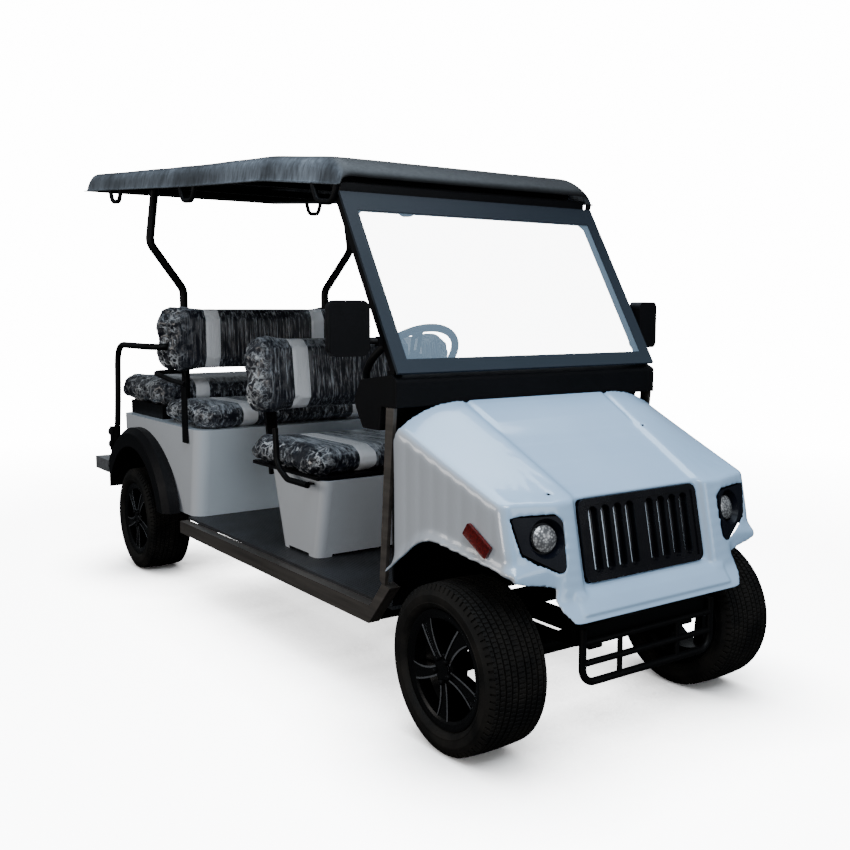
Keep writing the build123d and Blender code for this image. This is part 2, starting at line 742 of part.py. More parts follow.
def grab_handle(distance):
    """Loop under the roof rail on the +X side."""
    grip = lip_height(distance) - handle_drop
    ends = [
        (frame_x, place, lip_height(place - handle_radius) + frame_drop - seat_gap)
        for place in (distance - handle_half, distance + handle_half)]
    slope = lip_height(distance + handle_half) - lip_height(distance - handle_half)
    points = [ends[0], (frame_x, distance - handle_half, grip), (frame_x, distance + handle_half, grip + slope), ends[1]]
    return bent_tube(placed(points), handle_radius, 18)


parts["grab_handles"] = joined([pair(grab_handle(distance)) for distance in handle_places])

# ---- Rear posts with their gussets ----
post_aft = rear_axle - 211
post_shoulder = roof_half - 22
post_head = frame_x + 6
post_tilt = (post_shoulder - post_head) / (lip_height(post_aft) - 1228)
roof_slope = (lip_height(post_aft) - lip_height(post_aft - post_radius)) / post_radius
post_top = lip_height(post_aft) + frame_drop - seat_gap - post_radius * math.hypot(post_tilt, roof_slope)
rear_post = bent_tube(
    placed([(rear_post_x, post_aft, rear_body_height + seat_gap), (rear_post_x, post_aft, 1018),
            (post_shoulder, post_aft, 1228), (post_head, post_aft, post_top)]), post_radius, 70)
rear_gusset = side_slab(
    [(post_aft + post_radius - 4, post_top - 74), (post_aft + post_radius + 52, post_top - 2),
     (post_aft + post_radius - 4, post_top - 2)], post_head - 3, post_head + 3)
parts["rear_posts"] = pair(rear_post + rear_gusset)

# ---- Mirrors: turned outwards, with the glass facing the driver ----
mirror_aft = 385
mirror_x = screen_half + 88
mirror_width = 126
mirror_low = 783
mirror_high = 949
mirror_depth = 44
mirror_turn = 14
mirror_centre = (mirror_low + mirror_high) / 2
mirror_half = (mirror_high - mirror_low) / 2
on_mirror = Pos(mirror_x, aft(mirror_aft), up(mirror_centre)) * Rot(0, 0, mirror_turn)
shell_face = outline_face(
    [(-mirror_width / 2, -mirror_depth / 2, -mirror_half), (mirror_width / 2, -mirror_depth / 2, -mirror_half),
     (mirror_width / 2, -mirror_depth / 2, mirror_half), (-mirror_width / 2, -mirror_depth / 2, mirror_half)],
    [30, 24, 24, 24])
mirror_shell = extrude(shell_face, amount=mirror_depth, dir=(0, 1, 0))
glass_inset = 9
glass_pocket = 4
pane = Box(mirror_width - 2 * glass_inset, glass_pocket, 2 * (mirror_half - glass_inset))
mirror_shell -= Pos(0, mirror_depth / 2 - glass_pocket / 2 + 0.01, 0) * pane
mirror_shell = on_mirror * mirror_shell
boss_height = 828
mirror_foot = block(
    post_out + seat_gap, post_out + 16, aft(332), aft(354), up(boss_height - 14), up(boss_height + 14))
arm = rod((post_out + 8, aft(343), up(boss_height)), (mirror_x - 20, aft(mirror_aft), up(boss_height)), 9)
parts["mirror_housings"] = pair(mirror_shell + mirror_foot + arm)
glass = Pos(0, mirror_depth / 2 - 2, 0) * Box(mirror_width - 2 * glass_inset - 1, 3, 2 * (mirror_half - glass_inset) - 1)
parts["mirror_glasses"] = pair(on_mirror * glass)

# ---- Steering column and wheel, pedals ----
hub_back = 36
column_length = (wheel_centre[1] - aft(firewall_rear + 40)) / wheel_axis.Y
column = on_column * Pos(0, 0, -(hub_back + column_length) / 2) * Cylinder(column_radius, column_length - hub_back)
flange_z = wheel_centre[2] - wheel_axis.Z * column_length
column += block(
    steering_wheel_x - 40, steering_wheel_x + 40, aft(firewall_rear + seat_gap), aft(firewall_rear + 48),
    flange_z - 30, flange_z + 30)
parts["steering_column"] = column
grip_radius = 13
spoke_angles = (130, 250, 10)
ring_radius = steering_wheel_diameter / 2 - grip_radius
wheel = Torus(ring_radius, grip_radius) + Pos(0, 0, -20.5) * Cylinder(45, 30)
for angle in spoke_angles:
    bar = Pos(ring_radius / 2 + 4, 0, -14) * Box(ring_radius, 36, 8)
    bar -= Pos(ring_radius / 2 + 24, 0, -14) * Box(ring_radius - 90, 14, 10)
    wheel += Rot(0, 0, angle) * bar
parts["steering_wheel"] = on_column * wheel

pedal_places = (-350, -170)
pedal_aft = 470


def pedal(x):
    """Foot pedal: pad, arm and the bracket on the firewall."""
    pad = block(x - 35, x + 35, aft(pedal_aft), aft(pedal_aft + 12), up(58), up(148))
    pad += rod((x, aft(pedal_aft + 6), up(108)), (x, aft(firewall_rear + 20), up(318)), 8)
    return pad + block(x - 16, x + 16, aft(firewall_rear + seat_gap), aft(firewall_rear + 34), up(298), up(338))


parts["pedals"] = joined([pedal(x) for x in pedal_places])

# ---- Front seat: base on its feet, battery pack, hinged lid, cushion, backrest and tubes ----
base_foot = (990, 1270, 410)
base_rim = (820, 1245, cushion_half - 32)
base_corner = 34


def seat_base(inset):
    """Tapered box of the seat base, or its hollow when inset by the wall."""
    over = 5 if inset else 0
    sections = []
    for (front, rear, half), height in ((base_foot, floor_thickness - over), (base_rim, base_height + over)):
        edges = (half - inset, front + inset, rear - inset)
        corners = [
            (edges[0], edges[1]), (edges[0], edges[2]), (-edges[0], edges[2]), (-edges[0], edges[1])]
        points = [(x, aft(distance), up(height)) for x, distance in corners]
        sections.append(outline_face(points, base_corner - inset))
    return loft(sections, ruled=True)


foot_length = 62
foot_height = 11
base = seat_base(0) - seat_base(base_wall)
base -= block(
    foot_length - base_foot[2], base_foot[2] - foot_length, aft(base_foot[0] - 40), aft(base_foot[1] + 40),
    up(floor_thickness - 1), up(floor_thickness + foot_height))
base -= block(
    -base_foot[2] - 20, base_foot[2] + 20, aft(base_foot[0] + foot_length), aft(base_foot[1] - foot_length),
    up(floor_thickness - 1), up(floor_thickness + foot_height))
parts["front_seat_base"] = base
battery_half = 330
battery_height = 282
parts["battery_pack"] = block(
    -battery_half, battery_half, aft(base_foot[0] + 15), aft(base_rim[1] - 25), up(floor_thickness), up(battery_height))

hinge_aft = 1367
hinge_drop = 10
hinge_radius = 7
hinge_x = 300
lid_low = base_height + seat_gap
lid_half = cushion_half - 20
cushion_front = 838
cushion_rear = hinge_aft + 8
hinge_height = base_height - hinge_drop
lid_eye = disc(hinge_radius + 2.5, hinge_x - 14, hinge_x + 14, aft(hinge_aft), up(hinge_height))
lid_eye += block(hinge_x - 14, hinge_x + 14, aft(hinge_aft - 9), aft(hinge_aft + 6), up(hinge_height), up(lid_low + 1))
lid_eye -= disc(hinge_radius - 2, hinge_x - 15, hinge_x + 15, aft(hinge_aft), up(hinge_height))
lid = block(-lid_half, lid_half, aft(cushion_front + 12), aft(hinge_aft + 6), up(lid_low), up(lid_low + lid_thickness))
parts["front_seat_lid"] = lid + pair(lid_eye)
cushion_low = lid_low + lid_thickness + seat_gap


def soft_box(half, front, rear, low, high, radius):
    """Plain padded block with rounded sides."""
    outline = [(front, low), (rear, low), (rear, high), (front, high)]
    return side_slab(outline, -half, half, radius)


parts["front_seat_cushion"] = soft_box(cushion_half, cushion_front, cushion_rear, cushion_low, cushion_height, 24)
on_back = Pos(0, aft(hinge_aft - 27), up(678)) * Rot(-back_lean, 0, 0)
back_panel = outline_face(
    [(-backrest_half, 0, -150), (backrest_half, 0, -150), (backrest_half, 0, 150), (-backrest_half, 0, 150)], 45)
parts["front_seat_back"] = on_back * extrude(back_panel, amount=backrest_thickness, dir=(0, 1, 0))

strut_width = 46
shelf_z = base_height - 40
pin_gap = hinge_radius - 2 - bearing_clearance
strut = on_back * block(
    hinge_x + 30, hinge_x + 30 + strut_width, backrest_thickness + seat_gap, backrest_thickness + 16, -398, 60)
shelf = block(hinge_x - 40, hinge_x + 30 + strut_width, aft(hinge_aft - 137), aft(hinge_aft + 81), up(shelf_z), up(shelf_z + 14))
shelf -= seat_base(0)
shelf -= seat_base(0).moved(Location((0, seat_gap, 0)))
ear_radius = hinge_radius + 2
ears = joined([
    disc(ear_radius, x, x + 8, aft(hinge_aft), up(hinge_height))
    + block(x, x + 8, aft(hinge_aft - ear_radius), aft(hinge_aft + ear_radius), up(shelf_z + 13), up(hinge_height))
    for x in (hinge_x - 24, hinge_x + 16)])
pin = disc(pin_gap, hinge_x - 24, hinge_x + 24, aft(hinge_aft), up(hinge_height))
hip_x = cushion_half + 20
hip_points = [(hip_x, 1093, 494), (hip_x, 1081, 359), (hip_x, 1003, 318), (hip_x, 850, 318)]
hip = bent_tube(placed(hip_points), seat_tube_radius, [60, 60])
hip += block(base_rim[2] - 30, hip_x, aft(900), aft(934), up(308), up(314))
hip -= seat_base(0)
hip -= seat_base(0).moved(Location((seat_gap, 0, 0)))
hip -= block(0, base_rim[2] - 12, aft(880), aft(960), up(300), up(322))
parts["front_seat_frame"] = pair(strut + shelf + ears + pin) + pair(hip)

# ---- Rear body: lofted box with wheel arches ----
body_low = floor_thickness + seat_gap
body_foot = (rear_axle - 565, rear_axle + 340, body_half - 60)
body_rim = (rear_axle - 715, rear_axle + 272, body_half - 25)
body_corner = 60


def rear_form(inset):
    """Tapered box of the rear body, or its hollow when inset by the wall."""
    low = body_low - (5 if inset else 0)
    high = rear_body_height - inset
    sections = []
    for (front, rear, half), height in ((body_foot, low), (body_rim, high)):
        corners = [
            (half - inset, front + inset), (half - inset, rear - inset),
            (inset - half, rear - inset), (inset - half, front + inset)]
        points = [(x, aft(distance), up(height)) for x, distance in corners]
        sections.append(outline_face(points, body_corner - inset))
    return loft(sections, ruled=True)


flare_inner = body_half - 44
flare_outer = body_half + 32
arch_inner = 340
axle_y = aft(rear_axle)
shell = rear_form(0) - rear_form(body_wall)
shell -= block(-body_half, body_half, axle_y, aft(rear_axle + 400), up(0), up(97))
shell -= pair(disc(arch_radius + liner_wall + seat_gap, arch_inner, body_half + 50, axle_y, hub_z))
shell -= pair(disc(flare_radius + seat_gap, flare_inner - seat_gap, body_half + 50, axle_y, hub_z))
parts["rear_body"] = shell
flare = disc(flare_radius, flare_inner, flare_outer, axle_y, hub_z)
flare = chamfer(flare.edges().filter_by(GeomType.CIRCLE).sort_by(Axis.X)[-1], 26)
flare += disc(arch_radius + liner_wall, arch_inner, flare_inner + 1, axle_y, hub_z)
flare -= disc(arch_radius, arch_inner + liner_wall, flare_outer + 1, axle_y, hub_z)
flare &= block(
    arch_inner - 10, flare_outer + 10, aft(rear_axle - 500), aft(rear_axle + 332), up(body_low), up(body_low + 600))
parts["rear_arch_flares"] = pair(flare)

# ---- Rear step ----
deck = block(-step_half, step_half, aft(step_front), aft(step_rear), up(step_height - step_plate), up(step_height))
deck += pair(block(step_half - 8, step_half, aft(step_front), aft(step_rear), up(step_height - 66), up(step_height)))
deck += block(
    -step_half, step_half, aft(step_front), aft(step_front + 30), up(step_height - 60), up(step_height))
deck += pair(block(
    rail_in, rail_out, aft(rear_axle + 650), aft(step_rear - 20), up(rail_height - 20), up(step_height - step_plate)))
parts["rear_step"] = deck

# ---- Rear seats ----
mid_front = rear_axle - 710
mid_rear = rear_axle - 235
pad_front = rear_axle - 315
rear_pad = rear_axle - 187
rear_pad_back = rear_axle - 95
pad_low = 644
pad_high = 938
mid_top = 518
rear_seat_low = 478
rear_seat_top = 598
parts["mid_seat_cushion"] = soft_box(
    cushion_half, mid_front, mid_rear, rear_body_height + seat_gap, mid_top, 24)


def backrest(front, rear):
    """Padded panel between two distances aft."""
    outline = [(x * backrest_half, z) for x, z in ((-1, pad_low), (1, pad_low), (1, pad_high), (-1, pad_high))]
    return front_slab(outline, front, rear, 45)


parts["rear_backrests"] = backrest(pad_front, mid_rear) + backrest(rear_pad, rear_pad_back)
parts["rear_seat_cushion"] = soft_box(
    cushion_half, rear_axle - 180, rear_axle + 360, rear_seat_low, rear_seat_top, 24)
riser_front = rear_axle - 175
riser_rear = rear_axle + 260
riser = block(
    -step_half, step_half, aft(riser_front), aft(riser_rear), up(rear_body_height) + seat_gap,
    up(rear_seat_low) - seat_gap)
riser -= block(
    40 - step_half, step_half - 40, aft(riser_front + 40), aft(riser_rear - 40), up(rear_body_height - 10),
    up(rear_seat_low + 10))
rear_seat_frame = riser
back_rails = (678, 858)
for height in back_rails:
    rear_seat_frame += block(
        post_radius - rear_post_x, rear_post_x - post_radius, aft(mid_rear) + seat_gap, aft(rear_pad) - seat_gap,
        up(height), up(height + 40))
arm_x = body_half - 20
arm_start = rear_post_x + post_radius + seat_gap
arm_foot = (rear_axle - 603, rear_axle - 546)
plate_in = body_rim[2] + seat_gap
armrest = bent_tube(
    placed([(arm_start, post_aft, 638), (arm_x, post_aft, 638), (arm_x, rear_axle - 440, 613),
            (arm_x, arm_foot[0] + 14, 604)]), seat_tube_radius, [40, 60])
armrest += block(plate_in, plate_in + 6, aft(arm_foot[0]), aft(arm_foot[1]), up(349), up(612))
parts["rear_seat_frame"] = rear_seat_frame + pair(armrest)

# ---- Rear hand rails, which carry the tail lamps ----
rail_radius = 13
lamp_radius = 26
lamp_depth = 26
lamp_plate_aft = rear_axle + 392
lamp_heights = (303, 239)
rear_rail = bent_tube(
    placed([(arm_start, post_aft, 754), (arm_x, post_aft, 754), (arm_x, rear_axle + 295, 754),
            (arm_x, rear_axle + 310, 468), (arm_x - 3, rear_axle + 375, 178), (step_half - 10, step_front - 5, 88)]),
    rail_radius, 40)
rear_rail += block(arm_x - 7, arm_x + 3, aft(lamp_plate_aft - 46), aft(lamp_plate_aft), up(303), up(318))
rear_rail += block(
    arm_x - 27, arm_x + 23, aft(lamp_plate_aft), aft(lamp_plate_aft + 4), up(208), up(333))
parts["rear_rail_left"] = rear_rail
parts["rear_rail_right"] = mirrored(rear_rail)
tail_lamp = joined([
    Pos(arm_x - 2, aft(lamp_plate_aft + 4 + lamp_depth / 2) + seat_gap, up(height)) * Rot(90, 0, 0)
    * Cylinder(lamp_radius, lamp_depth) for height in lamp_heights])
parts["tail_lamps"] = pair(tail_lamp)

os.makedirs("parts", exist_ok=True)
for name, shape in parts.items():
    shape.label = name
    export_step(shape, f"parts/{name}.step")
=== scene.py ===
import bpy
import math
from mathutils import Matrix, Vector
from mathutils import noise as noiseField
from mathutils.kdtree import KDTree


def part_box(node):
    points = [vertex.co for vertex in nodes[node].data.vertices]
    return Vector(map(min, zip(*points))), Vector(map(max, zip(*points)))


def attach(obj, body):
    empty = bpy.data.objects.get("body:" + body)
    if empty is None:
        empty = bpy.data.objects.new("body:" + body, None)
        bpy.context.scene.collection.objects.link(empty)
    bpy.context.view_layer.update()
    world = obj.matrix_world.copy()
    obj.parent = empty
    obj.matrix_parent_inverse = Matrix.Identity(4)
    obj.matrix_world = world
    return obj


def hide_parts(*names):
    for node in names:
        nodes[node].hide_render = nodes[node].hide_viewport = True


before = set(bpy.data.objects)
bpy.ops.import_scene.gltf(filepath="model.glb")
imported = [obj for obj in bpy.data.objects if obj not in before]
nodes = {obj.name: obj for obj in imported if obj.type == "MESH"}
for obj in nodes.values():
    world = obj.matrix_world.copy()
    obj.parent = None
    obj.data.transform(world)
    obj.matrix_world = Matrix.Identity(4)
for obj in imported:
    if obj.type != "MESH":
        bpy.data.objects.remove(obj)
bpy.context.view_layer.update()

wheelNames = ("front_right", "front_left", "rear_right", "rear_left")
hubs = {name: [(a + b) / 2 for a, b in zip(*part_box("tyre_" + name))] for name in wheelNames}


# small helpers for materials
def setSockets(shader, values):
    for name, value in values.items():
        shader.inputs[name].default_value = value


def newMaterial(name, **values):
    # a plain shader to build on: returns the material, its nodes, its links and the shader
    material = bpy.data.materials.new(name)
    material.use_nodes = True
    tree = material.node_tree
    shader = tree.nodes["Principled BSDF"]
    setSockets(shader, values)
    return material, tree.nodes, tree.links, shader


def dress(material, *names):
    for name in names:
        nodes[name].data.materials.clear()
        nodes[name].data.materials.append(material)


def objectCoordinates(made, links, scale=(1, 1, 1), turn=(0, 0, 0)):
    # object coordinates through a mapping, so that a pattern can be stretched
    source = made.new("ShaderNodeTexCoord")
    mapping = made.new("ShaderNodeMapping")
    mapping.inputs["Scale"].default_value = scale
    mapping.inputs["Rotation"].default_value = [math.radians(angle) for angle in turn]
    links.new(source.outputs["Object"], mapping.inputs["Vector"])
    return mapping.outputs["Vector"]


def noise(made, links, vector, scale, detail=4, roughness=0.55, distortion=0.0):
    texture = made.new("ShaderNodeTexNoise")
    setSockets(texture, {"Scale": scale, "Detail": detail, "Roughness": roughness, "Distortion": distortion})
    links.new(vector, texture.inputs["Vector"])
    return texture.outputs["Fac"]


def ramp(made, links, value, low, high, lowColor, highColor):
    # blend between two colours or greys as a value goes from low to high
    node = made.new("ShaderNodeValToRGB")
    node.color_ramp.elements[0].position = low
    node.color_ramp.elements[1].position = high
    node.color_ramp.elements[0].color = lowColor
    node.color_ramp.elements[1].color = highColor
    links.new(value, node.inputs["Fac"])
    return node.outputs["Color"]


def grey(value):
    return (value, value, value, 1)


def bump(made, links, height, strength, distance, target):
    node = made.new("ShaderNodeBump")
    setSockets(node, {"Strength": strength, "Distance": distance})
    links.new(height, node.inputs["Height"])
    links.new(node.outputs["Normal"], target)
    return node


def mathNode(made, links, operation, first, second=None):
    # one step of arithmetic on sockets or plain numbers
    node = made.new("ShaderNodeMath")
    node.operation = operation
    for index, value in enumerate((first, second)):
        if value is None:
            continue
        if isinstance(value, (int, float)):
            node.inputs[index].default_value = value
        else:
            links.new(value, node.inputs[index])
    return node.outputs["Value"]


def mixColors(made, links, factor, first, second):
    node = made.new("ShaderNodeMix")
    node.data_type = "RGBA"
    links.new(factor, node.inputs[0])
    for index, color in ((6, first), (7, second)):
        if isinstance(color, tuple):
            node.inputs[index].default_value = color
        else:
            links.new(color, node.inputs[index])
    return node.outputs[2]


def axisOf(made, links, output, axis):
    # one coordinate of the texture coordinates, such as the object's X
    source = made.new("ShaderNodeTexCoord")
    split = made.new("ShaderNodeSeparateXYZ")
    links.new(source.outputs[output], split.inputs["Vector"])
    return split.outputs[axis]


# materials
gelcoat = {
    "hollow": (0.012, 0.012, 0.014, 1), "roughness": 0.24, "coat": 0.55, "ripple": 0.03,
    "pieces": {  # node: (a point inside it, two cloudy tones of its faces, tone of its sides)
        # painted light: the bluish face tones are painted sky reflection, the greyer side tones are painted
        # side shade, and the rear body and seat base are paler to paint in light that falls weakly there
        "front_cowl": ((0, -1.5, 0.52), (0.3, 0.44, 0.61, 1), (0.36, 0.51, 0.69, 1), (0.35, 0.37, 0.4, 1)),
        "rear_body": ((0, 0.75, 0.5), (0.53, 0.6, 0.67, 1), (0.58, 0.65, 0.72, 1), (0.54, 0.57, 0.61, 1)),
        "front_seat_base": (
            (0, -0.5, 0.49), (0.55, 0.6, 0.67, 1), (0.6, 0.65, 0.72, 1), (0.54, 0.57, 0.61, 1))}}


def gelcoatMaterial(name, centre, tone, paleTone, sideShadeTone):
    # glossy white outside and near-black inside as painted shade of the hollow; outside, bluish tones of
    # painted sky reflection where it faces up or forward and a greyer painted side shade where it faces
    # sideways; a face that looks towards the shell's middle is inside
    material, made, links, shader = newMaterial(
        name, **{"Roughness": gelcoat["roughness"], "Coat Weight": gelcoat["coat"], "Coat Roughness": 0.06})
    source = made.new("ShaderNodeTexCoord")
    away = made.new("ShaderNodeVectorMath")
    away.operation = "SUBTRACT"
    away.inputs[1].default_value = centre
    links.new(source.outputs["Object"], away.inputs[0])
    facing = made.new("ShaderNodeVectorMath")
    facing.operation = "DOT_PRODUCT"
    links.new(away.outputs["Vector"], facing.inputs[0])
    links.new(source.outputs["Normal"], facing.inputs[1])
    inside = mathNode(made, links, "LESS_THAN", facing.outputs["Value"], -0.02)
    cloud = noise(made, links, source.outputs["Object"], 2.2, 3)
    outer = ramp(made, links, cloud, 0.3, 0.75, tone, paleTone)
    # painted side shade: faces turned sideways take the greyer side tone instead of the bluish painted sky
    # reflection
    sideways = mathNode(made, links, "ABSOLUTE", axisOf(made, links, "Normal", "X"))
    sideShadeMask = ramp(made, links, sideways, 0.5, 0.85, grey(0), grey(1))
    outer = mixColors(made, links, sideShadeMask, outer, sideShadeTone)
    # the inside takes the near-black hollow colour: painted shade of the shell's hollow
    links.new(mixColors(made, links, inside, outer, gelcoat["hollow"]), shader.inputs["Base Color"])
    peel = noise(made, links, source.outputs["Object"], 38, 2)
    bump(made, links, peel, gelcoat["ripple"], 0.004, shader.inputs["Normal"])
    return material


def blackMaterial(name, color, roughness, grain, grainSize, **more):
    # moulded or painted black with a fine grain and slightly dusty patches
    material, made, links, shader = newMaterial(name, **more)
    vector = objectCoordinates(made, links)
    patches = noise(made, links, vector, 5, 5)
    dusty = tuple(c * 1.7 for c in color[:3]) + (1,)
    links.new(ramp(made, links, patches, 0.35, 0.8, color, dusty), shader.inputs["Base Color"])
    wear = noise(made, links, vector, 14, 4)
    worn = ramp(made, links, wear, 0.3, 0.8, grey(roughness - 0.06), grey(roughness + 0.1))
    links.new(worn, shader.inputs["Roughness"])
    bump(made, links, noise(made, links, vector, grainSize, 3), grain, 0.0006, shader.inputs["Normal"])
    return material


def metalMaterial(name, color, roughness, stretch):
    # drawn or brushed metal: long fine lines along the piece
    material, made, links, shader = newMaterial(name, **{"Metallic": 0.9})
    lines = noise(made, links, objectCoordinates(made, links, stretch), 60, 5, 0.7)
    dull = tuple(c * 0.62 for c in color[:3]) + (1,)
    links.new(ramp(made, links, lines, 0.3, 0.75, dull, color), shader.inputs["Base Color"])
    worn = ramp(made, links, lines, 0.3, 0.8, grey(roughness), grey(roughness + 0.18))
    links.new(worn, shader.inputs["Roughness"])
    bump(made, links, lines, 0.08, 0.0008, shader.inputs["Normal"])
    return material


# the streak and frost colours are painted highlights of the clear film, not its own colour
filmLook = {
    "vinyl": (0.0022, 0.0032, 0.0075, 1), "streak": (0.46, 0.51, 0.57, 1), "frostHighlight": (0.6, 0.63, 0.66, 1),
    "stripe": (0.62, 0.64, 0.67, 1), "stripeFrom": 0.241, "stripeTo": 0.311, "endFrom": 0.395, "endTo": 0.46}


def filmStreaks(made, links, scale, turn, low, high):
    # painted highlights of the clear film: thin pale lines that run along the film where it is pulled tight
    field = noise(made, links, objectCoordinates(made, links, scale, turn), 1.0, 8, 0.66, 0.3)
    return ramp(made, links, field, low, high, grey(0), grey(1))


def wrappedVinyl(name, scale, slant, topScale):
    # near-black vinyl with two pale stripes, under clear film: streaks where tight, creases at the ends,
    # their pale colour painted highlights of the film
    material, made, links, shader = newMaterial(
        name, **{"Roughness": 0.5, "Specular IOR Level": 0.2, "Coat Weight": 0.7, "Coat Roughness": 0.12})
    acrossX = mathNode(made, links, "ABSOLUTE", axisOf(made, links, "Object", "X"))
    plain = objectCoordinates(made, links)
    straight = filmStreaks(made, links, scale, (0, 0, 0), 0.53, 0.66)
    leaning = filmStreaks(made, links, scale, slant, 0.55, 0.68)
    patches = ramp(made, links, noise(made, links, plain, 5.5, 3), 0.32, 0.68, grey(0.22), grey(1))
    tight = mathNode(made, links, "MULTIPLY", mathNode(made, links, "MAXIMUM", straight, leaning), patches)
    # painted highlight: upward faces get more pale streaks, as if light from above falls on the film
    upward = ramp(made, links, axisOf(made, links, "Normal", "Z"), 0.6, 0.92, grey(0), grey(1))
    topStreaks = filmStreaks(made, links, topScale, (0, 0, 0), 0.4, 0.62)
    topHighlight = mathNode(made, links, "MULTIPLY", upward, topStreaks)
    tight = mathNode(made, links, "MAXIMUM", tight, topHighlight)
    folds = made.new("ShaderNodeTexVoronoi")
    folds.feature = "DISTANCE_TO_EDGE"
    setSockets(folds, {"Scale": 22})
    wander = made.new("ShaderNodeTexNoise")
    setSockets(wander, {"Scale": 11, "Detail": 5})
    links.new(plain, wander.inputs["Vector"])
    moved = made.new("ShaderNodeVectorMath")
    moved.operation = "MULTIPLY_ADD"
    moved.inputs[1].default_value = (0.19, 0.19, 0.19)
    links.new(wander.outputs["Color"], moved.inputs[0])
    links.new(plain, moved.inputs[2])
    links.new(moved.outputs["Vector"], folds.inputs["Vector"])
    creases = ramp(made, links, folds.outputs["Distance"], 0.0, 0.09, grey(1), grey(0))
    clumps = ramp(made, links, noise(made, links, plain, 8.5, 4), 0.42, 0.62, grey(0.0), grey(1))
    creases = mathNode(made, links, "MULTIPLY", creases, clumps)
    # painted highlights at the ends: pale creases and haze on the crumpled film
    hazeHighlight = ramp(made, links, noise(made, links, plain, 13, 7, 0.75, 2.6), 0.54, 0.66, grey(0), grey(0.75))
    loose = mathNode(made, links, "MAXIMUM", creases, hazeHighlight)
    ends = ramp(made, links, acrossX, filmLook["endFrom"], filmLook["endTo"], grey(0), grey(1))
    above = mathNode(made, links, "GREATER_THAN", acrossX, filmLook["stripeFrom"])
    below = mathNode(made, links, "LESS_THAN", acrossX, filmLook["stripeTo"])
    onStripe = mathNode(made, links, "MULTIPLY", above, below)
    base = mixColors(made, links, onStripe, filmLook["vinyl"], filmLook["stripe"])
    middle = mixColors(made, links, mathNode(made, links, "MULTIPLY", tight, 0.85), base, filmLook["streak"])
    stripeShare = mathNode(made, links, "MULTIPLY", onStripe, 0.8)
    middle = mixColors(made, links, stripeShare, middle, filmLook["stripe"])
    end = mixColors(made, links, loose, filmLook["vinyl"], filmLook["frostHighlight"])
    links.new(mixColors(made, links, ends, middle, end), shader.inputs["Base Color"])
    height = mixColors(made, links, ends, tight, loose)
    bump(made, links, height, 0.6, 0.006, shader.inputs["Coat Normal"])
    bump(made, links, height, 0.4, 0.006, shader.inputs["Normal"])
    return material


def tyreMaterial():
    material, made, links, shader = newMaterial("tyreRubber", **{"Specular IOR Level": 0.12})
    vector = objectCoordinates(made, links)
    dust = noise(made, links, vector, 9, 6, 0.65)
    tint = ramp(made, links, dust, 0.4, 0.75, (0.002, 0.002, 0.002, 1), (0.012, 0.0105, 0.009, 1))
    links.new(tint, shader.inputs["Base Color"])
    links.new(ramp(made, links, dust, 0.3, 0.8, grey(0.6), grey(0.85)), shader.inputs["Roughness"])
    bump(made, links, noise(made, links, vector, 320, 3), 0.25, 0.001, shader.inputs["Normal"])
    return material


wheelFinish = {"facePlane": 0.5585, "faceBand": 0.0008, "bright": (0.5, 0.5, 0.51, 1),
               "black": (0.001, 0.001, 0.0012, 1), "spokeEnd": 0.146}


def wheelReach(made, links):
    # 1 within the spokes' reach of either axle, 0 on the rim's lip
    along = axisOf(made, links, "Object", "Y")
    fromFront = mathNode(made, links, "SUBTRACT", along, hubs["front_right"][1])
    fromFront = mathNode(made, links, "ABSOLUTE", fromFront)
    fromRear = mathNode(made, links, "SUBTRACT", along, hubs["rear_right"][1])
    fromRear = mathNode(made, links, "ABSOLUTE", fromRear)
    beside = mathNode(made, links, "MINIMUM", fromFront, fromRear)
    above = mathNode(made, links, "SUBTRACT", axisOf(made, links, "Object", "Z"), hubs["front_right"][2])
    squares = mathNode(made, links, "ADD", mathNode(made, links, "MULTIPLY", beside, beside),
                       mathNode(made, links, "MULTIPLY", above, above))
    return mathNode(made, links, "LESS_THAN", squares, wheelFinish["spokeEnd"] ** 2)


def alloyMaterial():
    # gloss black wheel whose spoke edges are cut bright: they are the faces in the outer plane
    material, made, links, shader = newMaterial("blackAlloy", **{"Specular IOR Level": 0.14})
    acrossX = mathNode(made, links, "ABSOLUTE", axisOf(made, links, "Object", "X"))
    offPlane = mathNode(made, links, "SUBTRACT", acrossX, wheelFinish["facePlane"])
    offPlane = mathNode(made, links, "ABSOLUTE", offPlane)
    inPlane = mathNode(made, links, "LESS_THAN", offPlane, wheelFinish["faceBand"])
    bright = mathNode(made, links, "MULTIPLY", inPlane, wheelReach(made, links))
    tint = mixColors(made, links, bright, wheelFinish["black"], wheelFinish["bright"])
    links.new(tint, shader.inputs["Base Color"])
    links.new(bright, shader.inputs["Metallic"])
    streak = noise(made, links, objectCoordinates(made, links), 70, 3)
    links.new(ramp(made, links, streak, 0.3, 0.7, grey(0.22), grey(0.34)), shader.inputs["Roughness"])
    return material


def ribbedMaterial(name, color, pitch, roughness):
    # moulded rubber with ribs across X
    material, made, links, shader = newMaterial(name, **{"Roughness": roughness})
    waves = made.new("ShaderNodeTexWave")
    waves.bands_direction = "X"
    setSockets(waves, {"Scale": 0.314 / pitch, "Distortion": 0.0})
    links.new(objectCoordinates(made, links), waves.inputs["Vector"])
    dust = noise(made, links, objectCoordinates(made, links), 7, 6, 0.6)
    lighter = tuple(c * 3 for c in color[:3]) + (1,)
    links.new(ramp(made, links, dust, 0.45, 0.8, color, lighter), shader.inputs["Base Color"])
    bump(made, links, waves.outputs["Fac"], 0.5, 0.002, shader.inputs["Normal"])
    return material


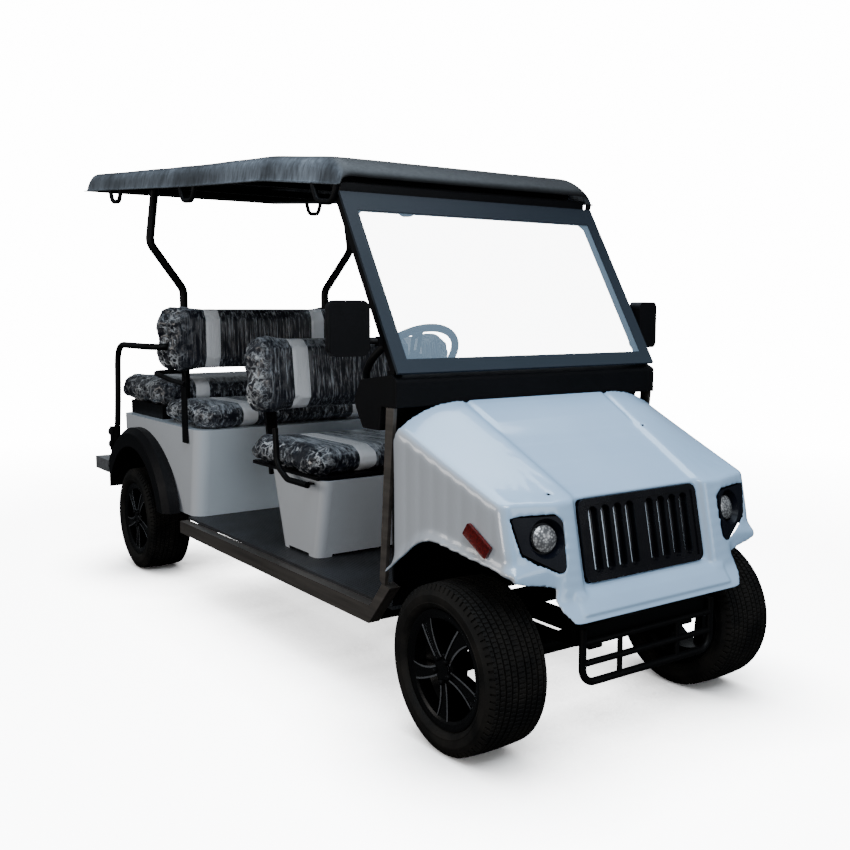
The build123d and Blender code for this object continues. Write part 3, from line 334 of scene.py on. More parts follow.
def slateMaterial():
    # blue-grey border of the windscreen, paler towards the bottom
    material, made, links, shader = newMaterial(
        "slateBorder", **{"Roughness": 0.42, "Specular IOR Level": 0.15})
    height = axisOf(made, links, "Object", "Z")
    span = mathNode(made, links, "SUBTRACT", height, 0.9)
    patches = noise(made, links, objectCoordinates(made, links), 3)
    cloud = mathNode(made, links, "ADD", span, mathNode(made, links, "MULTIPLY", patches, 0.3))
    tint = ramp(made, links, cloud, 0.15, 0.8, (0.024, 0.032, 0.041, 1), (0.008, 0.0115, 0.017, 1))
    links.new(tint, shader.inputs["Base Color"])
    return material


def roofMaterial():
    # black moulded roof whose rounded sides carry taut, streaky clear film; its sheen is painted as pale
    # bluish streaks on faces turned sideways or rearwards
    material, made, links, shader = newMaterial("roofBlack", **{"Specular IOR Level": 0.2})
    streaks = noise(made, links, objectCoordinates(made, links, (60, 70, 9)), 1.0, 6, 0.65, 0.25)
    sideways = mathNode(made, links, "ABSOLUTE", axisOf(made, links, "Normal", "X"))
    sideways = mathNode(made, links, "MAXIMUM", sideways, axisOf(made, links, "Normal", "Y"))
    sideHighlightMask = ramp(made, links, sideways, 0.35, 0.8, grey(0), grey(1))
    patches = noise(made, links, objectCoordinates(made, links), 3.0, 4)
    patches = ramp(made, links, patches, 0.35, 0.75, grey(0.25), grey(1))
    # painted highlight: the pale bluish tint is mixed into the black where the side mask, patches and streaks
    # meet
    glow = mathNode(made, links, "MULTIPLY", mathNode(made, links, "MULTIPLY", sideHighlightMask, patches),
                    ramp(made, links, streaks, 0.35, 0.7, grey(0.3), grey(1)))
    tint = mixColors(made, links, glow, (0.0016, 0.0016, 0.002, 1), (0.25, 0.29, 0.34, 1))
    links.new(tint, shader.inputs["Base Color"])
    links.new(ramp(made, links, streaks, 0.3, 0.8, grey(0.42), grey(0.55)), shader.inputs["Roughness"])
    bump(made, links, streaks, 0.25, 0.003, shader.inputs["Normal"])
    return material


def markerMaterial():
    material, made, links, shader = newMaterial(
        "redReflector", **{"Roughness": 0.3, "Specular IOR Level": 0.35})
    cells = made.new("ShaderNodeTexVoronoi")
    setSockets(cells, {"Scale": 220})
    links.new(objectCoordinates(made, links), cells.inputs["Vector"])
    red = (0.12, 0.004, 0.003, 1)
    darkRed = (0.045, 0.0015, 0.0015, 1)
    tint = ramp(made, links, cells.outputs["Distance"], 0.1, 0.7, red, darkRed)
    links.new(tint, shader.inputs["Base Color"])
    bump(made, links, cells.outputs["Distance"], 0.4, 0.001, shader.inputs["Normal"])
    return material


def lampMaterial():
    # clear lens over a pale reflector with small cells
    material, made, links, shader = newMaterial(
        "lampReflector", **{"Roughness": 0.25, "Metallic": 0.4, "Coat Weight": 0.8})
    cells = made.new("ShaderNodeTexVoronoi")
    setSockets(cells, {"Scale": 130})
    links.new(objectCoordinates(made, links), cells.inputs["Vector"])
    pale = (0.42, 0.42, 0.42, 1)
    dull = (0.12, 0.12, 0.125, 1)
    tint = ramp(made, links, cells.outputs["Distance"], 0.15, 0.6, pale, dull)
    links.new(tint, shader.inputs["Base Color"])
    bump(made, links, cells.outputs["Distance"], 0.5, 0.002, shader.inputs["Normal"])
    return material


glossBlack = blackMaterial(
    "glossBlack", (0.0012, 0.0012, 0.0022, 1), 0.24, 0.03, 300, **{"Specular IOR Level": 0.3})
bezelBlack = blackMaterial(
    "bezelBlack", (0.0016, 0.0022, 0.0045, 1), 0.3, 0.02, 300, **{"Specular IOR Level": 0.1})
satinBlack = blackMaterial(
    "satinBlack", (0.0009, 0.0009, 0.0011, 1), 0.45, 0.12, 700, **{"Specular IOR Level": 0.1})
plasticBlack = blackMaterial(
    "plasticBlack", (0.001, 0.001, 0.0015, 1), 0.5, 0.3, 900, **{"Specular IOR Level": 0.12})
bronze = metalMaterial("bronzeRail", (0.15, 0.135, 0.122, 1), 0.42, (1, 0.03, 1))
plate = metalMaterial("stepPlate", (0.62, 0.63, 0.65, 1), 0.3, (1, 1, 1))
alloy = alloyMaterial()
rubber = tyreMaterial()
rubberMat = ribbedMaterial("floorMat", (0.006, 0.007, 0.009, 1), 0.012, 0.6)
slate = slateMaterial()
roofBlack = roofMaterial()
redReflector = markerMaterial()
windowGlass = newMaterial(
    "windowGlass", **{"Base Color": (0.3, 0.4, 0.5, 1), "Roughness": 0.03, "Alpha": 0.22, "IOR": 1.3})[0]
mirrorGlass = newMaterial(
    "mirrorGlass", **{"Base Color": (0.75, 0.78, 0.8, 1), "Metallic": 1.0, "Roughness": 0.03})[0]
lampClear = lampMaterial()
seatTop = wrappedVinyl("seatVinyl", (70, 6, 30), (0, 0, 14), (75, 5, 75))
backVinyl = wrappedVinyl("backVinyl", (120, 70, 4.5), (0, 9, 0), (90, 9, 90))
stripWhite = blackMaterial("stripWhite", (0.5, 0.56, 0.62, 1), 0.4, 0.05, 300)
for node, look in gelcoat["pieces"].items():
    dress(gelcoatMaterial(node + "Gelcoat", *look), node)
dress(glossBlack, "grille", "tail_lamps")
dress(bezelBlack, "headlamp_bezels")
dress(satinBlack, "chassis_frame", "front_guard", "front_posts", "roof_frame", "rear_posts", "pedals",
      "front_seat_frame", "rear_seat_frame", "rear_rail_right", "rear_rail_left", "front_axle", "rear_axle",
      "leaf_springs", "knuckle_right", "knuckle_left", "tie_rod")
dress(plasticBlack, "dash_cowl", "grab_handles", "mirror_housings", "steering_column", "steering_wheel",
      "battery_pack", "front_seat_lid", "rear_arch_flares")
dress(bronze, "side_rails")
dress(plate, "rear_step")
dress(rubberMat, "floor_pan")
dress(slate, "windscreen_border")
dress(windowGlass, "windscreen_glass")
dress(mirrorGlass, "mirror_glasses")
dress(lampClear, "headlamp_lenses")
dress(redReflector, "side_markers")
dress(roofBlack, "roof_shell")
dress(alloy, *("rim_" + name for name in wheelNames))
print("materials ready")


# small helpers for modelling
def clearSelection():
    if bpy.context.object and bpy.context.object.mode != "OBJECT":
        bpy.ops.object.mode_set(mode="OBJECT")
    bpy.ops.object.select_all(action="DESELECT")


def choose(piece):
    clearSelection()
    piece.select_set(True)
    bpy.context.view_layer.objects.active = piece


def pickFaces(piece, wanted):
    # select the faces for which wanted(face) is true, and go to edit mode
    choose(piece)
    bpy.ops.object.mode_set(mode="EDIT")
    bpy.ops.mesh.select_mode(type="FACE")
    bpy.ops.mesh.select_all(action="DESELECT")
    bpy.ops.object.mode_set(mode="OBJECT")
    for face in piece.data.polygons:
        face.select = bool(wanted(face))
    bpy.ops.object.mode_set(mode="EDIT")


def applyAll(piece):
    choose(piece)
    bpy.ops.object.transform_apply(location=True, rotation=True, scale=True)
    for modifier in list(piece.modifiers):
        bpy.ops.object.modifier_apply(modifier=modifier.name)


def tidyMesh(piece, merge=0.00002):
    choose(piece)
    bpy.ops.object.mode_set(mode="EDIT")
    bpy.ops.mesh.select_all(action="SELECT")
    bpy.ops.mesh.remove_doubles(threshold=merge)
    bpy.ops.mesh.normals_make_consistent(inside=False)
    bpy.ops.object.mode_set(mode="OBJECT")


def settle(piece, name, material, body, angle=40):
    # last steps of every new piece: place in the mesh, shading, material and body
    applyAll(piece)
    piece.name = name
    piece.data.name = name
    bpy.ops.object.shade_smooth_by_angle(angle=math.radians(angle))
    piece.data.materials.clear()
    piece.data.materials.append(material)
    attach(piece, body)
    return piece


def copyOf(piece):
    twin = piece.copy()
    twin.data = piece.data.copy()
    bpy.context.collection.objects.link(twin)
    return twin


def joinAll(pieces):
    clearSelection()
    for piece in pieces:
        piece.select_set(True)
    bpy.context.view_layer.objects.active = pieces[0]
    bpy.ops.object.join()
    return pieces[0]


def spinProfile(points, steps):
    # closed profile of (x, radius) points, spun about the X axis
    clearSelection()
    bpy.ops.mesh.primitive_plane_add(size=0.001)
    piece = bpy.context.object
    bpy.ops.object.mode_set(mode="EDIT")
    bpy.ops.mesh.merge(type="CENTER")
    bpy.ops.transform.translate(value=(points[0][0], 0, points[0][1]))
    for (x0, r0), (x1, r1) in zip(points, points[1:] + points[:1]):
        bpy.ops.mesh.extrude_region_move(TRANSFORM_OT_translate={"value": (x1 - x0, 0, r1 - r0)})
    bpy.ops.mesh.select_all(action="SELECT")
    bpy.ops.mesh.remove_doubles(threshold=0.00001)
    bpy.ops.mesh.spin(steps=steps, angle=math.tau, center=(0, 0, 0), axis=(1, 0, 0))
    bpy.ops.object.mode_set(mode="OBJECT")
    tidyMesh(piece)
    return piece


# camera
cameraView = {"place": (-2.138, -3.731, 1.238), "turn": -34.996, "tilt": 83.492, "roll": 0.067, "lens": 42.18}


def addCamera(view):
    bpy.ops.object.camera_add(location=view["place"])
    camera = bpy.context.object
    camera.rotation_euler = [math.radians(view[key]) for key in ("tilt", "roll", "turn")]
    camera.data.lens = view["lens"]
    camera.data.sensor_width = 36
    camera.data.clip_end = 60
    bpy.context.scene.camera = camera


addCamera(cameraView)

# tyres: ribs with grooves between them, cross cuts and shoulder blocks
tyre = {
    "steps": 216, "radius": 0.2438, "half": 0.1022, "crown": 0.0045, "groove": 0.0065,
    "sipe": 0.0035, "sipeEdge": 0.0023, "shoulderCut": 0.005,
    "ribs": ((0.0, 0.0115), (0.0165, 0.032), (0.037, 0.0525), (0.0575, 0.073), (0.077, 0.0885)),
    "wall": ((0.0965, 0.2255), (0.1005, 0.214), (0.1018, 0.2125), (0.1022, 0.2), (0.1008, 0.1915),
             (0.1018, 0.1895), (0.0985, 0.1825), (0.0915, 0.1755), (0.0785, 0.1715), (0.0772, 0.1525)),
    "inside": ((0.064, 0.1525), (0.083, 0.196), (0.062, 0.2285))}


def tyreProfile():
    right = []
    for index, (start, end) in enumerate(tyre["ribs"]):
        for x in (start, end):
            right.append((x, tyre["radius"] - tyre["crown"] * (x / tyre["half"]) ** 2))
        if index < len(tyre["ribs"]) - 1:
            for x in (end + 0.0006, tyre["ribs"][index + 1][0] - 0.0006):
                right.append((x, tyre["radius"] - tyre["crown"] * (x / tyre["half"]) ** 2 - tyre["groove"]))
    right += list(tyre["wall"]) + list(tyre["inside"])
    left = [(-x, radius) for x, radius in reversed(right) if x > 0]
    return [point for point in right if point[0] > 0] + left


def treadFace(face, kind):
    # which faces of the tread are cut: every second step of a rib, or every third one of the shoulder
    x, y, z = face.center
    step = round(math.atan2(y, z) / math.tau * tyre["steps"] - 0.5)
    radius = math.hypot(y, z)
    side = abs(x)
    if radius < 0.2255 or abs(face.normal.x) > 0.93:
        return False
    if kind == "shoulder":
        return side > 0.0885 and side < 0.0965 and step % 3 == 0
    for index, (start, end) in enumerate(tyre["ribs"]):
        if start <= side < end and radius > tyre["radius"] - tyre["crown"] - 0.001:
            return step % 2 == index % 2
    return False


def makeTyre():
    piece = spinProfile(tyreProfile(), tyre["steps"])
    pickFaces(piece, lambda face: treadFace(face, "rib"))
    bpy.ops.mesh.inset(thickness=tyre["sipeEdge"], depth=-tyre["sipe"], use_individual=True)
    pickFaces(piece, lambda face: treadFace(face, "shoulder"))
    bpy.ops.mesh.inset(thickness=0.0012, depth=-tyre["shoulderCut"], use_individual=True)
    bpy.ops.object.mode_set(mode="OBJECT")
    return piece


firstTyre = makeTyre()
for name in wheelNames:
    piece = copyOf(firstTyre)
    piece.location = hubs[name]
    settle(piece, "treadTyre_" + name, rubber, "wheel_" + name, 30)
    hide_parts("tyre_" + name)
bpy.data.objects.remove(firstTyre)
print("tyres ready")

# wheel nuts
nuts = {"count": 5, "circle": 0.03477, "radius": 0.0085, "height": 0.016, "face": 0.0805, "cap": 0.0225}


def makeNuts():
    pieces = []
    for index in range(nuts["count"]):
        angle = math.tau * (index + 0.5) / nuts["count"]
        clearSelection()
        bpy.ops.mesh.primitive_cylinder_add(
            vertices=6, radius=nuts["radius"], depth=nuts["height"], rotation=(0, math.pi / 2, 0),
            location=(nuts["face"] + nuts["height"] / 2,
                      nuts["circle"] * math.sin(angle), nuts["circle"] * math.cos(angle)))
        piece = bpy.context.object
        bevel = piece.modifiers.new("edge", "BEVEL")
        bevel.width = 0.0022
        bevel.segments = 2
        pieces.append(piece)
    for piece in pieces:
        applyAll(piece)
    return joinAll(pieces)


firstNuts = makeNuts()
for name in wheelNames:
    piece = copyOf(firstNuts)
    piece.location = hubs[name]
    if name.endswith("right"):
        piece.rotation_euler = (0, 0, math.pi)
    settle(piece, "wheelNuts_" + name, satinBlack, "wheel_" + name)
bpy.data.objects.remove(firstNuts)

# cushions and backrests
pads = {"voxel": 0.0085, "pressure": 4.0, "frames": 20, "seam": 0.0022, "seamHalf": 0.006,
        "crumpleFrom": 0.36, "crumpleFade": 0.07, "foldScale": 26, "fold": 0.011}
padTable = (  # name, node, body, corner radius, edge radius, cap, shape
    ("frontCushion", "front_seat_cushion", "seat_lid", 0.06, 0.03, 0.018, "seat"),
    ("midCushion", "mid_seat_cushion", "chassis", 0.06, 0.03, 0.018, "seat"),
    ("rearCushion", "rear_seat_cushion", "chassis", 0.06, 0.03, 0.018, "seat"),
)


def bevelEdges(piece, radius, segments, wanted):
    # round the edges for which wanted(start, end) is true
    choose(piece)
    bpy.ops.object.mode_set(mode="EDIT")
    bpy.ops.mesh.select_mode(type="EDGE")
    bpy.ops.mesh.select_all(action="DESELECT")
    bpy.ops.object.mode_set(mode="OBJECT")
    spots = [vertex.co for vertex in piece.data.vertices]
    for edge in piece.data.edges:
        edge.select = bool(wanted(spots[edge.vertices[0]], spots[edge.vertices[1]]))
    bpy.ops.object.mode_set(mode="EDIT")
    bpy.ops.mesh.bevel(offset=radius, segments=segments, affect="EDGES")
    bpy.ops.object.mode_set(mode="OBJECT")


def puff(piece, cap):
    # inflate a pad as cloth under pressure, and hold each point to within the cap
    remesh = piece.modifiers.new("remesh", "REMESH")
    remesh.mode = "VOXEL"
    remesh.voxel_size = pads["voxel"]
    applyAll(piece)
    start = [vertex.co.copy() for vertex in piece.data.vertices]
    cloth = piece.modifiers.new("cloth", "CLOTH")
    cloth.settings.use_pressure = True
    cloth.settings.uniform_pressure_force = pads["pressure"]
    cloth.settings.effector_weights.gravity = 0
    cloth.settings.quality = 4
    cloth.point_cache.frame_end = pads["frames"]
    for step in range(1, pads["frames"] + 1):
        bpy.context.scene.frame_set(step)
    choose(piece)
    bpy.ops.object.modifier_apply(modifier="cloth")
    bpy.context.scene.frame_set(1)
    for vertex, first in zip(piece.data.vertices, start):
        move = vertex.co - first
        if move.length > cap:
            vertex.co = first + move.normalized() * cap


def keepInside(piece, low, high):
    # squeeze the puffed pad back into its node's box
    spots = [vertex.co for vertex in piece.data.vertices]
    lowest = [min(spot[axis] for spot in spots) for axis in range(3)]
    highest = [max(spot[axis] for spot in spots) for axis in range(3)]
    for vertex in piece.data.vertices:
        for axis in range(3):
            share = (vertex.co[axis] - lowest[axis]) / (highest[axis] - lowest[axis])
            vertex.co[axis] = low[axis] + share * (high[axis] - low[axis])


def sewStripes(piece):
    # a shallow seam along each edge of the two stripes
    for vertex, normal in zip(piece.data.vertices, [vertex.normal.copy() for vertex in piece.data.vertices]):
        for line in (filmLook["stripeFrom"], filmLook["stripeTo"]):
            off = abs(abs(vertex.co.x) - line)
            if off < pads["seamHalf"]:
                vertex.co -= normal * pads["seam"] * (1 - (off / pads["seamHalf"]) ** 2)


def crumpleEnds(piece):
    # gather the loose film at both ends into small folds that stand proud
    for vertex, normal in zip(piece.data.vertices, [vertex.normal.copy() for vertex in piece.data.vertices]):
        share = min(max((abs(vertex.co.x) - pads["crumpleFrom"]) / pads["crumpleFade"], 0), 1)
        if share > 0:
            fold = noiseField.fractal(vertex.co * pads["foldScale"], 0.6, 2.1, 3) + 0.25
            vertex.co += normal * pads["fold"] * share * fold


def makePad(name, low, high, body, corner, edge, cap, shape, material, turn=0.0):
    size = [b - a for a, b in zip(low, high)]
    middle = [(a + b) / 2 for a, b in zip(low, high)]
    clearSelection()
    bpy.ops.mesh.primitive_cube_add(size=1, location=(0, 0, 0))
    piece = bpy.context.object
    shrink = 2 * cap * 0.7
    piece.scale = [side - shrink for side in size]
    applyAll(piece)
    upright = 2 if shape == "seat" else 1
    bevelEdges(piece, corner, 6, lambda a, b: abs(a[upright] - b[upright]) > 0.02)
    rimLevel = (size[upright] - shrink) / 2 - 0.0001
    bevelEdges(piece, edge, 4, lambda a, b: (
        abs(a[upright]) > rimLevel and abs(b[upright]) > rimLevel and a[upright] * b[upright] > 0))
    puff(piece, cap)
    keepInside(piece, [-side / 2 for side in size], [side / 2 for side in size])
    sewStripes(piece)
    crumpleEnds(piece)
    subdivision = piece.modifiers.new("smooth", "SUBSURF")
    subdivision.levels = 1
    subdivision.render_levels = 1
    piece.rotation_euler = (turn, 0, 0)
    piece.location = middle
    settle(piece, name, material, body, 180)
    return piece


for name, node, body, corner, edge, cap, shape in padTable:
    low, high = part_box(node)
    pad = makePad(name, low, high, body, corner, edge, cap, shape, seatTop)
    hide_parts(node)
backLow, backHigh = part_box("rear_backrests")
backSplit = {"middle": 0.08, "rear": 0.092}
midBack = makePad("midBackrest", (backLow[0], backLow[1], backLow[2]),
                  (backHigh[0], backLow[1] + backSplit["middle"], backHigh[2]),
                  "chassis", 0.085, 0.03, 0.018, "back", backVinyl)
makePad("rearBackrest", (backLow[0], backHigh[1] - backSplit["rear"], backLow[2]),
        (backHigh[0], backHigh[1], backHigh[2]), "chassis", 0.085, 0.03, 0.018, "back", backVinyl)
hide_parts("rear_backrests")
frontBack = {"pivot": (0, -0.22, 1.0), "half": 0.48, "tall": 0.3, "thick": 0.14, "lean": 7}
leanTurn = -math.radians(frontBack["lean"])
backNormal = Vector((0, math.cos(leanTurn), math.sin(leanTurn)))
backMiddle = Vector(frontBack["pivot"]) + backNormal * frontBack["thick"] / 2
backHalf = (frontBack["half"], frontBack["thick"] / 2, frontBack["tall"] / 2)
frontPad = makePad(
    "frontBackrest",
    [place - half for place, half in zip(backMiddle, backHalf)],
    [place + half for place, half in zip(backMiddle, backHalf)],
    "chassis", 0.085, 0.04, 0.018, "back", backVinyl, leanTurn)
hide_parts("front_seat_back")
print("seats ready")

# diodes on the headlamp lenses, in a hexagonal pattern on the dome
diodes = {"radius": 0.0036, "pitch": 0.0098, "reach": 0.031, "lean": 11.66, "turn": 11, "dome": 0.07,
          "lensHalf": 0.016}
lampSilver = newMaterial(
    "lampSilver", **{"Base Color": (0.55, 0.55, 0.55, 1), "Metallic": 0.5, "Roughness": 0.25})[0]


def makeDiodes(side, name):
    spots = [vertex.co for vertex in nodes["headlamp_lenses"].data.vertices if vertex.co.x * side > 0]
    columns = list(zip(*spots))
    centre = [(min(column) + max(column)) / 2 for column in columns]
    turned = Matrix.Rotation(-math.radians(diodes["lean"]), 4, "X")
    turned = turned @ Matrix.Rotation(math.radians(diodes["turn"]) * side, 4, "Z")
    rows = int(diodes["reach"] / diodes["pitch"] / 0.866) + 1
    pieces = []
    for row in range(-rows, rows + 1):
        for column in range(-rows, rows + 1):
            x = (column + 0.5 * (row % 2)) * diodes["pitch"]
            z = row * diodes["pitch"] * 0.866
            if math.hypot(x, z) > diodes["reach"]:
                continue
            rise = diodes["dome"] - math.sqrt(diodes["dome"] ** 2 - x * x - z * z)
            place = Vector(centre) + turned @ Vector((x, rise - diodes["lensHalf"], z))
            clearSelection()
            bpy.ops.mesh.primitive_ico_sphere_add(subdivisions=2, radius=diodes["radius"], location=place)
            pieces.append(bpy.context.object)
    return settle(joinAll(pieces), name, lampSilver, "chassis")


makeDiodes(-1, "lampDiodesRight")
makeDiodes(1, "lampDiodesLeft")

# soft moulded skin of the front cowl
cowlSkin = {
    "voxel": 0.006, "rounds": 10, "lastRounds": 4, "factor": 0.6, "hold": 0.004, "fade": 0.012, "least": 0.4,
    "middle": -1.41, "halfWidth": 0.55, "reach": 0.45, "outline": 0.8, "flare": 0.021, "flareWide": 0.038,
    "blend": (0.04, 0.09, 0.05), "lip": 0.004,
    "lipTall": 0.014, "archFront": -1.776, "noseFrom": -1.74, "noseLow": 0.404, "noseHalf": 0.35,
    "archCorners": ((-1.776, 0.5), (-1.776, 0.546), (-1.45, 0.598), (-1.26, 0.45)), "archRadius": 0.13,
    "tugs": (  # place, move, reach
        ((0.398, -1.8, 0.506), (-0.03, 0, -0.008), 0.035), ((0.463, -1.79, 0.543), (0.002, 0, -0.02), 0.04),
        ((0.52, -1.77, 0.55), (-0.012, 0.006, -0.012), 0.03),
        ((0.355, -1.84, 0.402), (-0.012, 0.004, 0.012), 0.022)),
    "ledgeHalf": 0.3, "ledgeFrom": 0.428, "ledgeTo": 0.474, "ledgeEdge": 0.007, "ledgeOut": 0.008,
    "bandFrom": -1.49, "bandTo": -1.42, "bandRise": 0.0105, "bandLow": 0.84,
    "ridgeHalf": (0.264, 0.304), "sideHalf": (0.508, 0.55), "bulge": 0.022, "noseEnd": -1.72,
    "rearTop": -1.31, "rearSide": -1.27, "rearFlange": 0.005, "flangeWide": 0.013}


def archLine():
    # the wheel arch's edge in side view, with its crown rounded
    first, second, crown, last = [Vector(corner) for corner in cowlSkin["archCorners"]]
    before, after = (second - crown).normalized(), (last - crown).normalized()
    turn = math.pi - before.angle(after)
    back = cowlSkin["archRadius"] * math.tan(turn / 2)
    start, end = crown + before * back, crown + after * back
    rounded = []
    for step in range(7):
        share = step / 6
        rounded.append(start * (1 - share) ** 2 + crown * 2 * share * (1 - share) + end * share ** 2)
    return [first, second] + rounded + [last]


def lineDistance(spot, line):
    # distance from a point to a run of straight pieces, in a plane
    nearest = 9.0
    for first, second in zip(line, line[1:]):
        along = second - first
        share = min(max((spot - first).dot(along) / along.length_squared, 0), 1)
        nearest = min(nearest, (spot - first - along * share).length)
    return nearest


def softStep(value, low, high):
    # 0 below low, 1 above high, eased between them
    share = min(max((value - low) / (high - low), 0), 1)
    return share * share * (3 - 2 * share)


def tugPoints(piece):
    # pull the nose's corners into place, and raise a shallow ledge below the grille
    for vertex in piece.data.vertices:
        spot = vertex.co.copy()
        side = 1 if spot.x > 0 else -1
        for place, move, reach in cowlSkin["tugs"]:
            away = (Vector((abs(spot.x), spot.y, spot.z)) - Vector(place)).length
            vertex.co += Vector((move[0] * side, move[1], move[2])) * math.exp(-(away / reach) ** 2)
        edge = cowlSkin["ledgeEdge"]
        tall = softStep(spot.z, cowlSkin["ledgeFrom"] - edge, cowlSkin["ledgeFrom"])
        tall *= 1 - softStep(spot.z, cowlSkin["ledgeTo"], cowlSkin["ledgeTo"] + edge)
        wide = 1 - softStep(abs(spot.x), cowlSkin["ledgeHalf"], cowlSkin["ledgeHalf"] + edge)
        if spot.y < cowlSkin["noseFrom"]:
            vertex.co.y -= cowlSkin["ledgeOut"] * tall * wide


def rollEdges(piece):
    # turn the arch and rear edges outwards, swell the shoulders and raise a band across the rear of the hood
    arch = archLine()
    for vertex in piece.data.vertices:
        spot = vertex.co.copy()
        side = abs(spot.x)
        across = spot.x / cowlSkin["halfWidth"]
        ahead = (cowlSkin["middle"] - spot.y) / cowlSkin["reach"]
        outward = Vector((across / cowlSkin["halfWidth"], -max(ahead, 0) / cowlSkin["reach"], 0)).normalized()
        inset, fringe, height = cowlSkin["blend"]
        weight = softStep(side, cowlSkin["noseHalf"], cowlSkin["noseHalf"] + inset)
        weight *= softStep(math.hypot(across, ahead), cowlSkin["outline"] - fringe, cowlSkin["outline"])
        weight *= 1 - softStep(spot.z, 0.66 - height, 0.66)
        away = lineDistance(Vector((spot.y, spot.z)), arch) / cowlSkin["flareWide"]
        if away < 1:
            vertex.co += outward * cowlSkin["flare"] * weight * (1 - away) ** 2
        low = spot.z - cowlSkin["noseLow"]
        if low < cowlSkin["lipTall"] and spot.y < cowlSkin["noseFrom"]:
            vertex.co.y -= cowlSkin["lip"] * (1 - max(low, 0) / cowlSkin["lipTall"])
        back = min(max((spot.y - cowlSkin["noseEnd"]) / (cowlSkin["rearTop"] - cowlSkin["noseEnd"]), 0), 1)
        ridgeStart, ridgeEnd = cowlSkin["ridgeHalf"]
        edgeStart, edgeEnd = cowlSkin["sideHalf"]
        ridge = ridgeStart + (ridgeEnd - ridgeStart) * back
        edge = edgeStart + (edgeEnd - edgeStart) * back
        if ridge < side < edge and spot.z > 0.72:
            swell = math.sin(math.pi * (side - ridge) / (edge - ridge))
            vertex.co.z += cowlSkin["bulge"] * back ** 1.3 * swell
        share = (spot.y - cowlSkin["bandFrom"]) / (cowlSkin["bandTo"] - cowlSkin["bandFrom"])
        inner = min(max((ridge - 0.012 - side) / 0.012, 0), 1)
        if share > 0 and spot.z > cowlSkin["bandLow"]:
            share = min(share, 1)
            vertex.co.z += cowlSkin["bandRise"] * share * share * (3 - 2 * share) * inner
        rear = cowlSkin["rearTop"] if spot.z > 0.9 else cowlSkin["rearSide"] - (spot.z - 0.46) * 0.05
        before = rear - spot.y
        if before < cowlSkin["flangeWide"] and spot.z > 0.46:
            lifted = Vector((across, 0, max(spot.z - 0.6, 0) / 0.4)).normalized()
            vertex.co += lifted * cowlSkin["rearFlange"] * (1 - max(before, 0) / cowlSkin["flangeWide"])


def makeCowlSkin():
    # the cowl's own shape with its corners softened, less so round the grille and lamps
    piece = bpy.data.objects.new("cowlSkin", nodes["front_cowl"].data.copy())
    bpy.context.collection.objects.link(piece)
    tidyMesh(piece)
    remesh = piece.modifiers.new("remesh", "REMESH")
    remesh.mode = "VOXEL"
    remesh.voxel_size = cowlSkin["voxel"]
    applyAll(piece)
    fitted = [vertex.co for node in ("grille", "headlamp_bezels") for vertex in nodes[node].data.vertices]
    tree = KDTree(len(fitted))
    for index, spot in enumerate(fitted):
        tree.insert(spot, index)
    tree.balance()
    group = piece.vertex_groups.new(name="soft")
    for vertex in piece.data.vertices:
        away = tree.find(vertex.co)[2]
        weight = min(max((away - cowlSkin["hold"]) / cowlSkin["fade"], cowlSkin["least"]), 1)
        group.add([vertex.index], weight, "REPLACE")
    smooth = piece.modifiers.new("smooth", "SMOOTH")
    smooth.factor = cowlSkin["factor"]
    smooth.iterations = cowlSkin["rounds"]
    smooth.vertex_group = "soft"
    applyAll(piece)
    tugPoints(piece)
    rollEdges(piece)
    evened = piece.modifiers.new("evened", "SMOOTH")
    evened.factor = cowlSkin["factor"]
    evened.iterations = cowlSkin["lastRounds"]
    evened.vertex_group = "soft"
    settle(piece, "cowlSkin", bpy.data.materials["front_cowlGelcoat"], "chassis", 180)
    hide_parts("front_cowl")
    return piece


makeCowlSkin()
print("cowl ready")

# side markers: ribbed red lenses, tilted down towards the front
marker = {"length": 0.104, "height": 0.04, "depth": 0.01, "tilt": 33, "corner": 0.005, "inset": 0.004,
          "sink": 0.0012, "taper": -math.atan2(0.042, 0.41)}


def makeMarker(side):
    low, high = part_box("side_markers")
    middle = Vector((high[0] * side, (low[1] + high[1]) / 2, (low[2] + high[2]) / 2))
    clearSelection()
    bpy.ops.mesh.primitive_cube_add(size=1)
    piece = bpy.context.object
    piece.scale = (marker["depth"], marker["length"], marker["height"])
    applyAll(piece)
    bevelEdges(piece, marker["corner"], 3, lambda a, b: abs(a.x - b.x) > 0.005)
    pickFaces(piece, lambda face: face.normal.x * side > 0.9)
    bpy.ops.mesh.inset(thickness=marker["inset"], depth=-marker["sink"])
    bpy.ops.object.mode_set(mode="OBJECT")
    taper = marker["taper"] * side
    piece.rotation_euler = (math.radians(marker["tilt"]), 0, taper)
    piece.location = middle - Vector((side * marker["depth"] * 0.5, 0, 0))
    applyAll(piece)
    return piece


# black liners in the floor of each grille slot, which leave a narrow pale slit
liners = {"slots": 4, "pitch": 0.0486, "first": 0.041, "slot": 0.0355, "slit": 0.009, "tall": 0.186,
          "from": 0.0075, "to": 0.0136, "lean": 11.66, "corner": 0.002}


